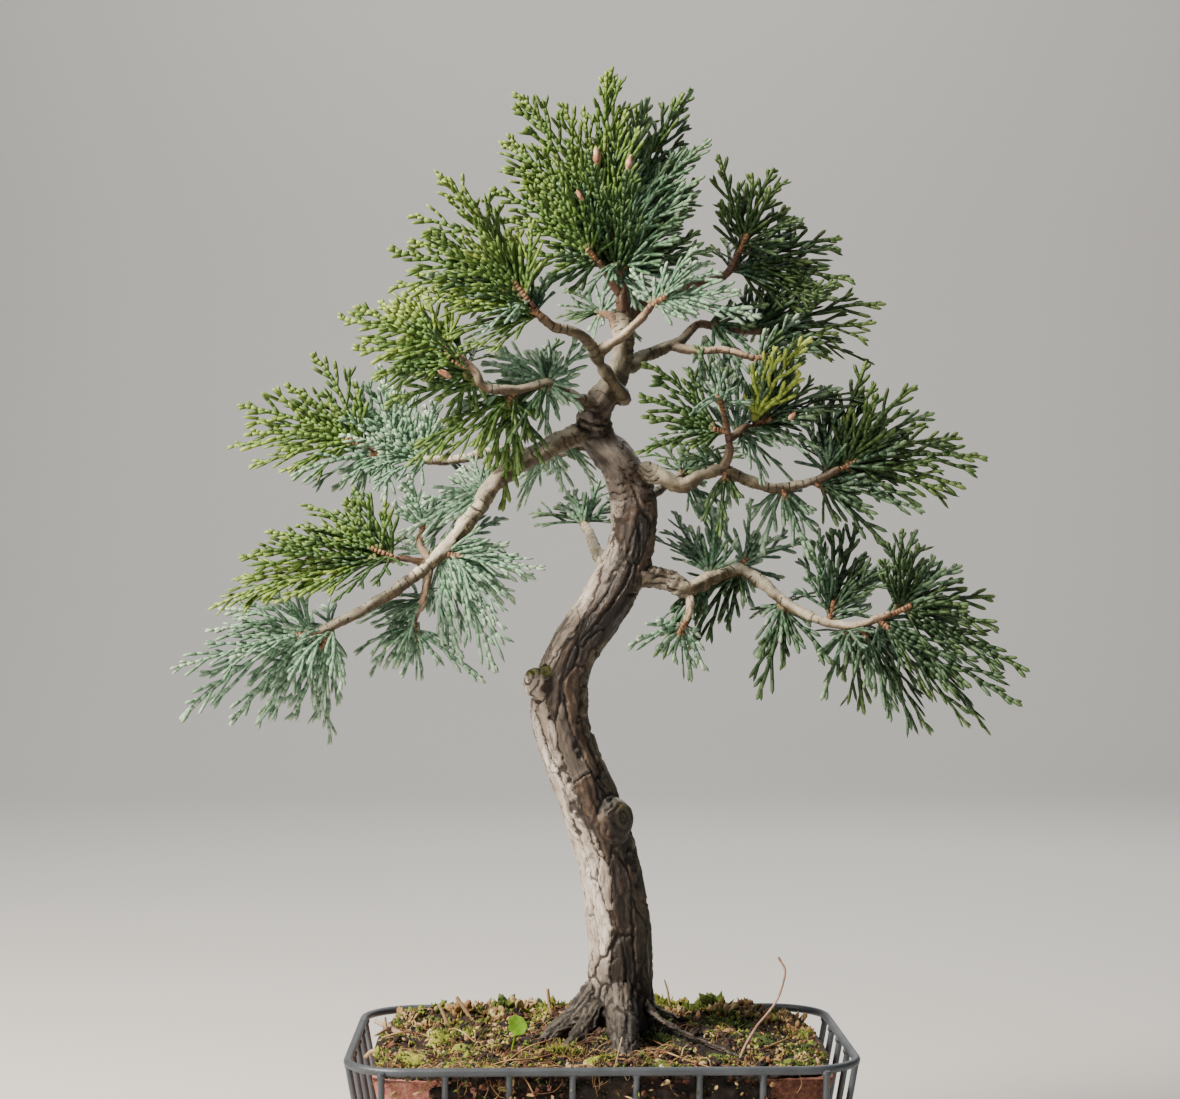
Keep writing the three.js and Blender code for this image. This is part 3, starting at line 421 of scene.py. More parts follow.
# Smaller sprays that stand further back along the same twigs: where one starts and where its middle
# finger ends, both laid out as the branches are, then the spread, 0 for a single finger, and the
# tone.
sideSprays = {
    "upper_left_rear": [
        (548, 384, -18, 592, 344, -24, 44, 0.15), (548, 384, -18, 577, 402, -30, 40, 0.15),
        (546, 384, -18, 560, 340, -6, 36, 0.3), (546, 384, -20, 512, 432, -34, 44, 0.4),
        (548, 386, -18, 545, 432, -10, 50, 0.12)],
    "upper_left_drop": [
        (515, 390, -24, 490, 432, -12, 40, 0.05), (500, 388, -26, 452, 412, -18, 50, 0.05)],
    "left_pad_low": [
        (478, 382, -29, 392, 388, -34, 40, 0.62), (470, 375, -30, 400, 368, -50, 40, 0.68)],
    "mid_left_depth": [
        (415, 447, 12, 398, 392, 6, 64, 0.05), (425, 450, 12, 436, 402, 0, 40, 0.05),
        (440, 455, 12, 468, 478, 20, 40, 0.3), (385, 452, 13, 384, 500, 4, 40, 0.1)],
    "left_back": [
        (488, 492, -14, 405, 520, -26, 36, 0.05), (470, 505, -16, 404, 548, 6, 44, 0.08)],
    "rear_left": [
        (545, 447, 6, 517, 508, 24, 22, 0.1), (550, 446, 4, 560, 488, 30, 30, 0.1),
        (562, 440, 4, 594, 482, 34, 34, 0.12)],
    "left_inner_right": [
        (440, 554, -19, 478, 670, -30, 34, 0.05), (440, 554, -19, 525, 592, -22, 44, 0.05)],
    "left_inner_low": [
        (425, 600, -20, 352, 622, 0, 52, 0.05), (430, 590, -20, 388, 640, 14, 50, 0.06),
        (440, 575, -18, 478, 632, -4, 46, 0.05), (420, 605, -20, 372, 668, -8, 30, 0.08),
        (418, 622, -18, 402, 672, -26, 34, 0.08)],
    "left_inner_up": [(430, 556, -20, 408, 528, 0, 50, 0.1)],
    "crown_low_left": [
        (597, 258, -6, 541, 287, -20, 50, 0.5), (600, 262, -6, 560, 262, 10, 50, 0.6)],
    "crown_depth": [
        (619, 270, 0, 640, 300, -14, 40, 0.3), (617, 262, -4, 592, 285, -24, 44, 0.35)],
    "high_left_low": [
        (540, 315, -38, 470, 335, -30, 40, 0.25), (535, 312, -38, 548, 272, -20, 36, 0.12),
        (528, 300, -40, 492, 322, -58, 44, 0.2)],
    "rear_high": [(601, 313, 34, 590, 340, 30, 60, 0.1)],
    "front_pale": [
        (653, 303, -36, 634, 268, -30, 50, 0.08), (653, 303, -36, 700, 302, -50, 40, 0.1)],
    "upper_right_top": [
        (712, 322, 15, 765, 303, 6, 44, 0.45), (712, 322, 15, 752, 345, 0, 50, 0.35),
        (720, 328, 14, 752, 398, 4, 24, 0.15)],
    "upper_right_low": [
        (705, 335, 12, 718, 402, 0, 26, 0.12), (757, 358, -4, 765, 395, -12, 36, 0.2)],
    "mid_right_back": [
        (737, 432, -14, 790, 478, -6, 50, 0.2), (745, 430, -12, 765, 475, -26, 50, 0.2),
        (750, 428, -12, 802, 445, -30, 40, 0.2)],
    "mid_right_far": [
        (755, 425, -8, 770, 355, -16, 22, 0.25), (754, 420, -12, 800, 334, -18, 34, 1.1)],
    "low_right_inner": [
        (738, 572, 14, 722, 618, 6, 60, 0.35), (736, 570, 14, 700, 600, 0, 50, 0.3),
        (742, 574, 14, 751, 602, 8, 40, 0.2), (738, 570, 14, 697, 640, -4, 40, 0.4)],
    "low_right_back": [
        (713, 577, 6, 668, 655, -8, 30, 0.45), (705, 580, 6, 672, 622, -14, 40, 0.4)],
    "rear_low": [(584, 524, 50, 590, 548, 58, 60, 0.1)],
    "crown_peak": [(605, 150, -4, 607, 66, -6, 0, 0.8)],
    "crown_left": [(560, 160, -8, 522, 90, -14, 0, 0.8)],
    "crown_right": [(655, 150, 4, 684, 88, 8, 0, 0.6)],
    "high_left_tip": [
        (480, 215, -42, 437, 172, -46, 0, 0.8), (470, 235, -48, 410, 213, -52, 0, 0.8),
        (468, 262, -40, 408, 240, -44, 0, 0.8)],
    "left_green_top": [(330, 560, -30, 254, 550, -40, 0, 0.7)],
    "left_pad_tip": [(480, 282, -34, 390, 288, -30, 0, 0.85)],
}


def seen(across, down, depth):
    # the place in mm of what the view shows here, this far behind the middle of the tree
    reach = view["lens"] / view["film"] * view["wide"]
    away = depth - view["y"]
    level = view["high"] / 2 + reach * math.tan(math.radians(view["tipped"]))
    sideways = (across - view["wide"] / 2) / reach + math.tan(math.radians(view["turned"]))
    return view["x"] + away * sideways, depth, view["z"] + away * (level - down) / reach


def seenRounded(across, down, depth):
    # the same to the millimetre, as the solids have it
    x, y, z = seen(across, down, depth)
    return round(x), y, round(z)


limbs = {name: [(*seenRounded(*row[:3]), row[3]) for row in rows] for name, rows in branchLines.items()}
limbs.update(roots)


# ---- leafy shoots: flat fans of scale-leaf branchlets

fan = {
    "cup": 0.35, "droop": 0.16, "outerWedge": 24, "threeUpTo": 33, "longFrom": 54, "curveOut": 0.3,
    "wider": 1.14, "nearLiesBack": 0.45, "nearKeepsLength": 0.6,
    "shorterOutside": 0.22, "facing": 0.9, "forward": 0.15, "upward": 0.4, "depthUpward": 0.3,
    "rollJitter": 70, "firstFan": 2.6, "fanSpacing": 2.3, "plainHeading": 0.3,
    "fillers": 2, "fillerLength": (0.5, 0.85), "fillerPaintedShade": (0.05, 0.4), "fillerDepth": 0.35,
}
branchlet = {
    "axisHalf": 0.92, "axisTipHalf": 0.95, "innerHalf": 0.74, "tipHalf": 0.8, "flat": 0.58,
    "step": 4.4, "lap": 1.08, "firstSide": 0.12, "sideSpacing": 10, "sideShare": 0.66,
    "shareLost": 0.22, "sideLeast": 2.4, "sideLongest": 30, "leave": 32, "arrive": 17,
    "lobesOver": 15, "lobeFrom": 0.42, "lobeLength": 6.6, "lobeHalf": 0.66, "lobeAngle": 26,
    "forkOver": 17, "woodyFor": 4.0, "lift": 0.14, "thinSide": 0.85,
}


def fanFrame(start, tip, rng):
    # where a fan starts and the way it lies: outwards, across, and out of its upper face
    reach = tip - start
    if reach.y < 0:
        # the near sprays turn aside, so that they open flat instead of end on
        full = reach.length
        reach.y *= fan["nearLiesBack"]
        reach *= (full / reach.length) ** fan["nearKeepsLength"]
    reach.z += fan["droop"] * reach.length
    length = reach.length
    outwards = reach.normalized()
    depthways = abs(outwards.y)
    frontward = fan["facing"] * (1 - depthways) + fan["forward"]
    face = Vector((0, -frontward, fan["upward"] + fan["depthUpward"] * depthways))
    face = (face - outwards * face.dot(outwards)).normalized()
    roll = math.radians(fan["rollJitter"] * (rng.random() - 0.5))
    face = Matrix.Rotation(roll, 3, outwards) @ face
    across = face.cross(outwards)
    return np.array(start), [np.array(axis) for axis in (outwards, across, face)], length


def fanFingers(length, spread, rng):
    # (angle, length, room on the right, room on the left) of each finger; the leader is longest
    if not spread:
        room = math.radians(fan["outerWedge"])
        return [(0.0, length, room, room)]
    count = 3 + (length > fan["threeUpTo"]) + (length > fan["longFrom"])
    leader = (count - 1) // 2 + (count == 4 and rng.random() < 0.5)
    spread = spread * fan["wider"]
    wedge = spread / (count - 1) / 2
    fingers = []
    for i in range(count):
        place = 2 * i / (count - 1) - 1
        shorter = (1 - place ** 2 * fan["shorterOutside"] * rng.uniform(0.6, 2.0)) * rng.uniform(0.76, 0.98)
        if i == leader:
            shorter = 1.08
        right = fan["outerWedge"] if i == 0 else wedge
        left = fan["outerWedge"] if i == count - 1 else wedge
        angle = place * spread / 2 + rng.uniform(-4, 4)
        fingers.append((math.radians(angle), length * shorter, math.radians(right),
                        math.radians(left)))
    return fingers


def onFan(lie, u, v, w=0.0):
    # a point of the fan's own plane, which is cupped across and droops outwards
    start, (outwards, across, face), length = lie
    u, v = np.atleast_1d(u), np.atleast_1d(v)
    lifted = (w - fan["cup"] * v ** 2 / length)[:, None]
    points = start + outwards * u[:, None] + across * v[:, None] + face * lifted
    points[:, 2] -= fan["droop"] * u ** 2 / length
    return points


def fansOf(name, rng):
    # the shoot's fans, which leave its woody end one behind another
    tone, foot, fanRows = shoots[name]
    onBranch = isinstance(foot[0], str)
    root = Vector(limbs[foot[0]][foot[1]][:3] if onBranch else foot)
    tips = [Vector(seenRounded(*row[:3])) for row in fanRows]
    reaches = [tip - root for tip in tips]
    heading = sum((reach.normalized() for reach in reaches), Vector((0, 0, 0)))
    if heading.length < fan["plainHeading"]:
        heading = Vector((0, 0, 1))
    heading.normalize()
    found = []
    order = sorted(range(len(fanRows)), key=lambda i: -reaches[i].angle(heading))
    for rank, i in enumerate(order):
        start = root + heading * (fan["firstFan"] + fan["fanSpacing"] * rank)
        lie = fanFrame(start, tips[i], rng)
        found.append((lie, fanFingers(lie[2], fanRows[i][3], rng), tone))
    # shorter sprays fill in between them, on all sides, painted darker as the shade between the fans
    mean = sum(reach.length for reach in reaches) / len(reaches)
    for _ in range(fan["fillers"]):
        turn = Vector(rng.normal(0, 1, 3)).normalized() * rng.uniform(0.6, 1.1) + heading
        start = root + heading * rng.uniform(0, fan["firstFan"])
        turn.y = fan["fillerDepth"] * abs(turn.y)
        reach = turn.normalized() * mean * rng.uniform(*fan["fillerLength"])
        lie = fanFrame(start, start + reach, rng)
        fingers = fanFingers(lie[2], rng.uniform(34, 60), rng)
        found.append((lie, fingers, max(0.05, tone - rng.uniform(*fan["fillerPaintedShade"]))))
    for row in sideSprays.get(name, []):
        start, end, spread, tone = Vector(seen(*row[:3])), Vector(seen(*row[3:6])), row[6], row[7]
        lie = fanFrame(start, end, rng)
        found.append((lie, fanFingers(lie[2], spread, rng), tone))
    return root, heading, found


def growAxis(rows, path, halves, tips, wood, face=0):
    # links along a path of (u, v, w) points; the halves, tips and wood are one value a point
    for i in range(len(path) - 1):
        rows.append((*path[i], *path[i + 1], halves[i + 1], tips[i + 1], wood[i + 1], face, 0))


def growLobe(rows, at, angle, length, half, tip, tilt, face=0):
    u, v, w = at
    end = (u + length * math.cos(angle), v + length * math.sin(angle), w + length * tilt)
    rows.append((u, v, w, *end, half, min(1, tip), 0, face, 1))


def growSide(rows, at, angle, side, length, near, rng):
    # a side branchlet that bends forwards, the long ones with lobes to either side; near is how
    # far out on its finger it stands, from 0 to 1
    count = max(2, round(length / branchlet["step"]))
    step = length / count
    bend = math.radians(branchlet["leave"] + rng.uniform(-8, 7))
    straighten = bend - math.radians(branchlet["arrive"] + rng.uniform(-6, 9))
    lift = rng.normal(0, branchlet["lift"])
    face = rng.normal(0, 0.25)
    path, halves, tips = [at], [0.6], [near * 0.5]
    lobeSide = side
    for i in range(count):
        t = (i + 1) / count
        heading = angle + side * (bend - straighten * min(1, t * 1.3))
        u, v, w = path[-1]
        path.append((u + step * math.cos(heading), v + step * math.sin(heading), w + step * lift))
        halves.append(branchlet["innerHalf"] + (branchlet["tipHalf"] - branchlet["innerHalf"])
                      * min(1, 0.25 * near + 0.85 * t ** 2))
        tips.append(min(1, near * 0.35 + 0.35 * t ** 2))
        if i + 1 < count and length > branchlet["lobesOver"] and t > branchlet["lobeFrom"]:
            lobeSide = -lobeSide
            reach = branchlet["lobeLength"] * rng.uniform(0.8, 1.3) * (1.3 - 0.5 * t)
            out = heading + lobeSide * math.radians(branchlet["lobeAngle"] + rng.uniform(-6, 6))
            foot = path[-1]
            if length > branchlet["forkOver"] and t < 0.66:
                run = rng.uniform(2.8, 4.8)
                mid = (foot[0] + run * math.cos(out), foot[1] + run * math.sin(out),
                       foot[2] + lift * run)
                growAxis(rows, [foot, mid], [0.5, 0.56], [0, tips[-1]], [0, 0], face)
                foot, out, reach = mid, out - lobeSide * 0.16, reach * 1.1
            growLobe(rows, foot, out, reach, branchlet["lobeHalf"], tips[-1], lift, face)
    growAxis(rows, path[:-1], halves[:-1], tips[:-1], [0] * count, face)
    # the last step is the blunt tip
    u0, v0, w0 = path[-2]
    u1, v1, w1 = path[-1]
    rows.append((u0, v0, w0, u0 + (u1 - u0) * 1.2, v0 + (v1 - v0) * 1.2, w1, halves[-1],
                 min(1, tips[-1] + 0.15), 0, face, 1))


def growFinger(rows, finger, lush, rng):
    angle0, length, right, left = finger
    count = max(4, round(length / 3.2))
    wave = rng.uniform(-0.06, 0.06)
    path, halves, tips, wood = [], [], [], []
    for i in range(count + 1):
        share = i / count
        radius = length * share
        angle = angle0 * (1 + fan["curveOut"] * (1 - share)) + wave * math.sin(math.pi * share)
        path.append((radius * math.cos(angle), radius * math.sin(angle), 0.35 * math.sin(5 * share)))
        halves.append(branchlet["axisHalf"] + (branchlet["axisTipHalf"] - branchlet["axisHalf"])
                      * smoothstep(0.4, 0.95, share))
        tips.append(float(smoothstep(0.5, 1.0, share)))
        wood.append(float(1 - smoothstep(0.3, 1.0, radius / branchlet["woodyFor"])))
    growAxis(rows, path[:-1], halves[:-1], tips[:-1], wood[:-1])
    tip, before = path[-1], path[-2]
    ahead = math.atan2(tip[1] - before[1], tip[0] - before[0])
    growLobe(rows, before, ahead, length / count + 0.8, 0.9, 1, 0)

    # side branchlets leave to the right and left in turn
    side = 1 if rng.random() < 0.5 else -1
    distance = max(3.5, branchlet["firstSide"] * length) * rng.uniform(0.8, 1.2)
    while distance < length - 2.0:
        share = distance / length
        spot = share * count
        low = min(int(spot), count - 1)
        along = spot - low
        at = tuple(a + (b - a) * along for a, b in zip(path[low], path[low + 1]))
        ahead = math.atan2(path[low + 1][1] - path[low][1], path[low + 1][0] - path[low][0])
        room = distance * math.tan(left if side > 0 else right) * 1.3 + 5.0
        longest = (branchlet["sideShare"] - branchlet["shareLost"] * share) * (length - distance)
        longest = longest * rng.uniform(0.5, 1.3) + branchlet["sideLeast"]
        reach = min(longest, room / math.sin(math.radians(26)), branchlet["sideLongest"])
        if reach > 4.2:
            growSide(rows, at, ahead, side, reach, share, rng)
        else:
            out = ahead + side * math.radians(branchlet["lobeAngle"])
            growLobe(rows, at, out, max(4.0, reach), branchlet["lobeHalf"] * 1.1, share * 0.8, 0)
        side = -side
        distance += branchlet["sideSpacing"] / 2 / lush * rng.uniform(0.85, 1.2) * (1.12 - 0.3 * share)


def templateOf(piece):
    # a small piece's own points and triangles, and the piece goes
    focus(piece)
    bpy.ops.object.transform_apply(location=True, rotation=True, scale=True)
    editSelection(piece, lambda face: True)
    bpy.ops.mesh.quads_convert_to_tris()
    endEdit()
    template = pointsOf(piece), np.array([list(face.vertices) for face in piece.data.polygons])
    bpy.data.objects.remove(piece)
    return template


def leafTemplates():
    # a link of a branchlet, and the lobe that one ends in, both from 0 to 1 along z
    made = []
    for foot, shoulder in ((0.97, 1), (1.08, 0.72)):
        bpy.ops.mesh.primitive_cylinder_add(vertices=4, radius=1, depth=1, location=(0, 0, 0.5))
        piece = bpy.context.active_object
        bpy.ops.object.transform_apply(location=True)
        editSelection(piece, lambda face: face.center.z < 0.1)
        bpy.ops.transform.resize(value=(foot, foot, 1))
        endEdit()
        if shoulder < 1:
            # the top comes down to the shoulder, and a blunt point rises from it
            editSelection(piece, lambda face: face.center.z > 0.9)
            bpy.ops.transform.translate(value=(0, 0, shoulder - 1))
            bpy.ops.mesh.poke(offset=1 - shoulder)
            endEdit()
        made.append(templateOf(piece))
    return made


def growShoot(name, index, templates):
    rng = np.random.default_rng(index + 11)
    root, heading, fans = fansOf(name, rng)
    # the side away from the window grows thinner sprays
    lush = 1 - (1 - branchlet["thinSide"]) * float(smoothstep(20, 70, root.x))
    bases, ends, faces, looks, kinds = [], [], [], [], []
    for lie, fingers, tone in fans:
        rows = []
        for finger in fingers:
            growFinger(rows, finger, lush, rng)
        table = np.array(rows)
        base = onFan(lie, table[:, 0], table[:, 1], table[:, 2])
        end = onFan(lie, table[:, 3], table[:, 4], table[:, 5])
        outwards, across, face = lie[1]
        tilt = table[:, 9]
        normal = face[None] * np.cos(tilt)[:, None] + across[None] * np.sin(tilt)[:, None]
        # the sprays that turn their ends this way get painted shade: a darker tone and dimmer pale tips
        turned = max(0, -lie[1][0][1])
        shade = rng.uniform(-0.06, 0.06) + tone - 0.35 * turned + 0.16 * table[:, 9]
        table[:, 7] *= 1 - 0.85 * turned
        bases.append(base)
        ends.append(end)
        faces.append(normal)
        looks.append(np.column_stack([shade, table[:, 7], table[:, 8], table[:, 6]]))
        kinds.append(table[:, 10])
    # the woody end of the twig that the fans stand on
    length = fan["firstFan"] + fan["fanSpacing"] * (len(shoots[name][2]) - 1) + 1.5
    count = 3 + round(length / 3)
    along = np.array(root)[None] + np.outer(np.linspace(0, length, count + 1), np.array(heading))
    along[1:-1] += rng.normal(0, 0.12, (count - 1, 3))
    aside = Vector(heading).orthogonal().normalized()
    bases.append(along[:-1])
    ends.append(along[1:])
    faces.append(np.tile(np.array(aside), (count, 1)))
    looks.append(np.column_stack([np.full(count, 0.6), np.zeros(count), np.ones(count),
                                  np.full(count, 1.4)]))
    kinds.append(np.full(count, 2.0))
    bases, ends, faces = np.vstack(bases), np.vstack(ends), np.vstack(faces)
    looks, kinds = np.vstack(looks), np.concatenate(kinds)

    step = ends - bases
    ahead = unit(step)
    right = unit(np.cross(faces, ahead))
    front = np.cross(ahead, right)
    half = looks[:, 3:4]
    flat = np.where(kinds == 2, 1.0, branchlet["flat"])[:, None]
    grown = np.where(kinds == 1, 1.0, branchlet["lap"])[:, None]
    axes = np.stack([right * half, front * half * flat, step * grown], axis=1)
    points, triangles, values = [], [], []
    total = 0
    for kind, template in ((0, templates[0]), (1, templates[1]), (2, templates[0])):
        chosen = kinds == kind
        if not chosen.any():
            continue
        placed, faceRows = copies(template, bases[chosen] * mm, axes[chosen] * mm)
        points.append(placed)
        triangles.append(faceRows + total)
        look = np.repeat(looks[chosen, :3], len(template[0]), axis=0)
        # the tip colour comes on along each link, not at its foot
        look[:, 1] *= np.tile(0.55 + 0.45 * template[0][:, 2], int(chosen.sum()))
        values.append(look)
        total += len(placed)
    piece = meshPiece(name + "_leaves", np.vstack(points), np.vstack(triangles))
    setValues(piece, "look", np.vstack(values))
    return piece


leafFinish = Finish("scale_leaves", 0.55)
tone, tipShare, woody = leafFinish.threeOf("look")
leafPlace = leafFinish.place()
mottle = leafFinish.noise(leafPlace, 90, 3)
fine = leafFinish.noise(leafPlace, 900, 2)
hue = tone + (mottle - 0.5) * 0.35
green = leafFinish.ramp(hue, (0.0, "668b70"), (0.16, "4b7355"), (0.36, "24401f"), (0.58, "31501b"),
                        (0.8, "52702a"), (1.0, "9fb548"))
fresh = leafFinish.ramp(hue, (0.0, "ecf7e2"), (0.35, "9cc07e"), (0.7, "a0b65c"), (1.0, "d6e086"))
green = leafFinish.mix(tipShare * tipShare * 0.62, green, fresh)
frost = leafFinish.between(hue, 0.34, 0.08) * leafFinish.between(fine, 0.46, 0.66)
green = leafFinish.mix(frost * 0.22, green, hexColour("d3e4d6"))
# painted shade: the sprays further right, away from the window, are darkened towards a deep green, except at
# their tips
sideways = leafFinish.node("SeparateXYZ", {}, {"Vector": leafPlace})
paintedShadeRightSprays = leafFinish.between(sideways + (mottle - 0.5) * 0.03, 0.0, 0.1)
green = leafFinish.mix(paintedShadeRightSprays * 0.5, green, leafFinish.mix(tipShare, hexColour("12200c"), green))
scaly = leafFinish.ramp(fine, (0.3, "4d3323"), (0.5, "7a563c"), (0.7, "a3805f"))
leafFinish.feed("Base Color", leafFinish.mix(woody, green, scaly))
leafFinish.feed("Roughness", 0.4 + fine * 0.24)
leafFinish.bump(fine, 0.25, 0.5)
leafFinish.shader.inputs["Specular IOR Level"].default_value = 0.42

templates = leafTemplates()
leafFaces = 0
for index, name in enumerate(shoots):
    shoot = growShoot(name, index, templates)
    settle(shoot, leafFinish.material, "foliage", name)
    leafFaces += len(shoot.data.polygons)
print("leafy shoots", len(shoots), "faces", leafFaces)

# buds in their brown scales among the shoots: where one stands, the way it points, its length
buds = [
    ((-1, -14, 433), (-0.1, -0.1, 1), 7.6), ((11, -14, 431), (0.25, -0.1, 1), 6.6),
    ((-7, -18, 418), (-0.5, -0.3, 0.8), 5), ((-37, -40, 377), (-0.8, -0.2, 0.6), 6),
    ((-59, -38, 345), (-0.9, -0.3, 0.4), 6), ((76, -12, 330), (0.6, -0.3, 0.7), 5),
]
budOutline = [(0, 0.5), (0.12, 1.0), (0.3, 1.55), (0.5, 1.7), (0.7, 1.4), (0.88, 0.8), (1, 0.2)]
budPaths = []
for foot, ahead, length in buds:
    foot, ahead = np.array(foot), unit(np.array(ahead, float))
    budPaths.append(smoothPath([(*(foot + ahead * length * t), half * length / 7.6)
                                for t, half in budOutline], 2))
budPiece = tubes("buds", budPaths, roundness=3)
budFinish = Finish("bud_scales", 0.5)
budPlace = budFinish.place()
budMottle = budFinish.noise(budPlace, 420, 4)
budFinish.feed("Base Color", budFinish.ramp(budMottle, (0.3, "74422f"), (0.5, "b17d62"), (0.72, "e0c0a2")))
budFinish.feed("Roughness", 0.4 + budMottle * 0.2)
budFinish.bump(budMottle, 0.5, 0.5)
settle(budPiece, budFinish.material, "foliage", "crown_peak")


# ---- trunk, branches and roots

# the trunk's own path, from inside the soil to the crown: x, y, z and the radius
trunkPath = [
    (8.6, 0, 50, 14), (8.6, 0, 78, 16), (8.6, 0, 101, 13.5), (8.4, 0, 125, 13.2),
    (3.7, 0, 153, 12.6), (-4, 0, 176, 12.2), (-12, 0, 196, 11.6), (-16, 0, 214, 11.8),
    (-11.3, 0, 235, 10.3), (3.7, 0, 258, 10.4), (12.8, 0, 278, 9.6), (14.4, 0, 297, 9.6),
    (8.6, 0, 312.6, 8), (-0.7, 0, 324.5, 7.2), (-1.4, 0, 335, 6.8), (6.6, 0, 348, 5),
    (10.7, 0, 365, 3.7), (9.6, 0, 383, 2.7), (6.2, 0, 397, 2.2), (4.6, 0, 409, 1.7),
]
rootNames = list(roots)
collars = {"lowLeft": 1.1, "midRight": 1.5, "lowRight": 1.6, "rearLow": 1.1, "rearLeft": 1, "rearRight": 1.2,
           "upLeftBack": 0.6, "upLeftFront": 0.6, "upRight": 0.7}
bark = {
    "trunkVoxel": 0.7, "limbVoxel": 0.66, "plateSize": (6.2, 6.2, 27), "plateDeep": 0.8,
    "flakeSize": (2.7, 2.7, 9), "flakeDeep": 0.32, "paleLift": 0.5, "curl": 0.3, "rootScale": 1.7,
    "smoothAbove": 300, "ringSpacing": 1.5, "ringPerGirth": 0.75, "ringDeep": 0.42, "knobby": 0.75,
}
knots = [
    {"centre": (-24.5, -6, 224), "radius": 6.4, "outwards": (-0.76, -0.62, 0.12), "eye": (-0.6, -0.4, 1.6),
     "ring": 2.3, "moss": 1},
    {"centre": (5.6, -6.6, 169), "radius": 8.6, "outwards": (0.42, -0.9, 0.05), "eye": (2.2, 0, 1.4),
     "ring": 2.1, "moss": 0},
]
# rough dark bark where limbs leave: the middle and how far it reaches
roughSpots = [((14, -6, 303), 14), ((-4, -5, 330), 9), ((25, -4, 265), 13), ((-9, -3, 341), 6)]


def randomAt(cells, seed):
    # a fixed random number for each whole-number cell
    mixed = cells @ np.array([127.1, 311.7, 74.7]) + seed * 17.17
    return np.modf(np.abs(np.sin(mixed) * 43758.5453))[0]


def softNoise(points, seed=0):
    # smooth noise between -1 and 1, one swell a unit
    low = np.floor(points)
    t = points - low
    t = t * t * (3 - 2 * t)
    total = np.zeros(len(points))
    for corner in np.ndindex(2, 2, 2):
        corner = np.array(corner)
        weight = np.prod(np.where(corner, t, 1 - t), axis=1)
        total += weight * randomAt(low + corner, seed)
    return total * 2 - 1


def plates(points, size, seed=0):
    # cracked plates: how far a point lies from the nearest crack, a random value of its plate and
    # where the plate's middle is
    size = np.array(size, dtype=float)
    cells = points / size
    low = np.floor(cells)
    nearest, second = np.full(len(points), 9.0), np.full(len(points), 9.0)
    own, other = np.zeros_like(cells), np.zeros_like(cells)
    shade = np.zeros(len(points))
    for shift in np.ndindex(3, 3, 3):
        cell = low + np.array(shift) - 1
        middle = cell + np.stack([randomAt(cell, seed + k) for k in (1, 2, 3)], axis=1)
        far = np.linalg.norm(cells - middle, axis=1)
        closer = far < nearest
        between = ~closer & (far < second)
        other[closer], second[closer] = own[closer], nearest[closer]
        own[closer], nearest[closer] = middle[closer], far[closer]
        other[between], second[between] = middle[between], far[between]
        shade[closer] = randomAt(cell[closer], seed + 4)
    apart = other - own
    edge = np.einsum("ij,ij->i", (own + other) / 2 - cells, apart)
    return edge / np.linalg.norm(apart / size, axis=1), shade, own * size


def centreline(path, kind, tube):
    # samples along a path: point, direction, two side axes, distance along, radius, kind, how many
    # growth rings have passed, and which tube it is
    fine = smoothPath(path, 8)
    points, radii = fine[:, :3], fine[:, 3]
    ahead = unit(np.gradient(points, axis=0))
    steps = np.linalg.norm(np.diff(points, axis=0), axis=1)
    along = np.concatenate([[0], np.cumsum(steps)])
    spacing = bark["ringSpacing"] + bark["ringPerGirth"] * radii[1:]
    rings = np.concatenate([[0], np.cumsum(steps / spacing)])
    side = np.cross(ahead[0], (0.3, 0.9, 0.1))
    sides = []
    for direction in ahead:
        side = side - direction * (side @ direction)
        side = side / np.linalg.norm(side)
        sides.append(side)
    sides = np.array(sides)
    same = np.ones(len(fine))
    return np.column_stack([points, ahead, sides, np.cross(ahead, sides), along, radii, same * kind,
                            rings, same * tube])


def nearestSamples(points, samples):
    # the sample whose tube each point lies on, and how much further off the next tube is
    chosen = np.zeros(len(points), dtype=int)
    seam = np.zeros(len(points))
    for first in range(0, len(points), 4000):
        part = points[first:first + 4000]
        gaps = np.linalg.norm(part[:, None] - samples[None, :, :3], axis=2) - samples[None, :, 13]
        best = gaps.argmin(axis=1)
        ownTube = samples[best, 16][:, None] == samples[None, :, 16]
        chosen[first:first + 4000] = best
        seam[first:first + 4000] = np.where(ownTube, 99, gaps).min(axis=1) - gaps.min(axis=1)
    return chosen, seam


def unrolled(points, samples, chosen):
    # a point's place on its own tube: around it, and along it
    near = samples[chosen]
    offset = points - near[:, :3]
    ahead = np.einsum("ij,ij->i", offset, near[:, 3:6])
    first = np.einsum("ij,ij->i", offset, near[:, 6:9])
    second = np.einsum("ij,ij->i", offset, near[:, 9:12])
    angle = np.arctan2(second, first)
    radius = near[:, 13]
    return np.column_stack([np.cos(angle) * radius, np.sin(angle) * radius, near[:, 12] + ahead]), near, ahead


def fused(name, paths, voxel, smoothing):
    piece = tubes(name, paths, roundness=4)
    applyModifier(piece, "REMESH", mode="VOXEL", voxel_size=voxel * mm)
    applyModifier(piece, "SMOOTH", factor=0.5, iterations=smoothing)
    piece.data.shade_smooth()
    return piece


def normalsOf(piece):
    normals = np.empty(len(piece.data.vertices) * 3, dtype=np.float32)
    piece.data.vertex_normals.foreach_get("vector", normals)
    return normals.reshape(-1, 3).astype(float)


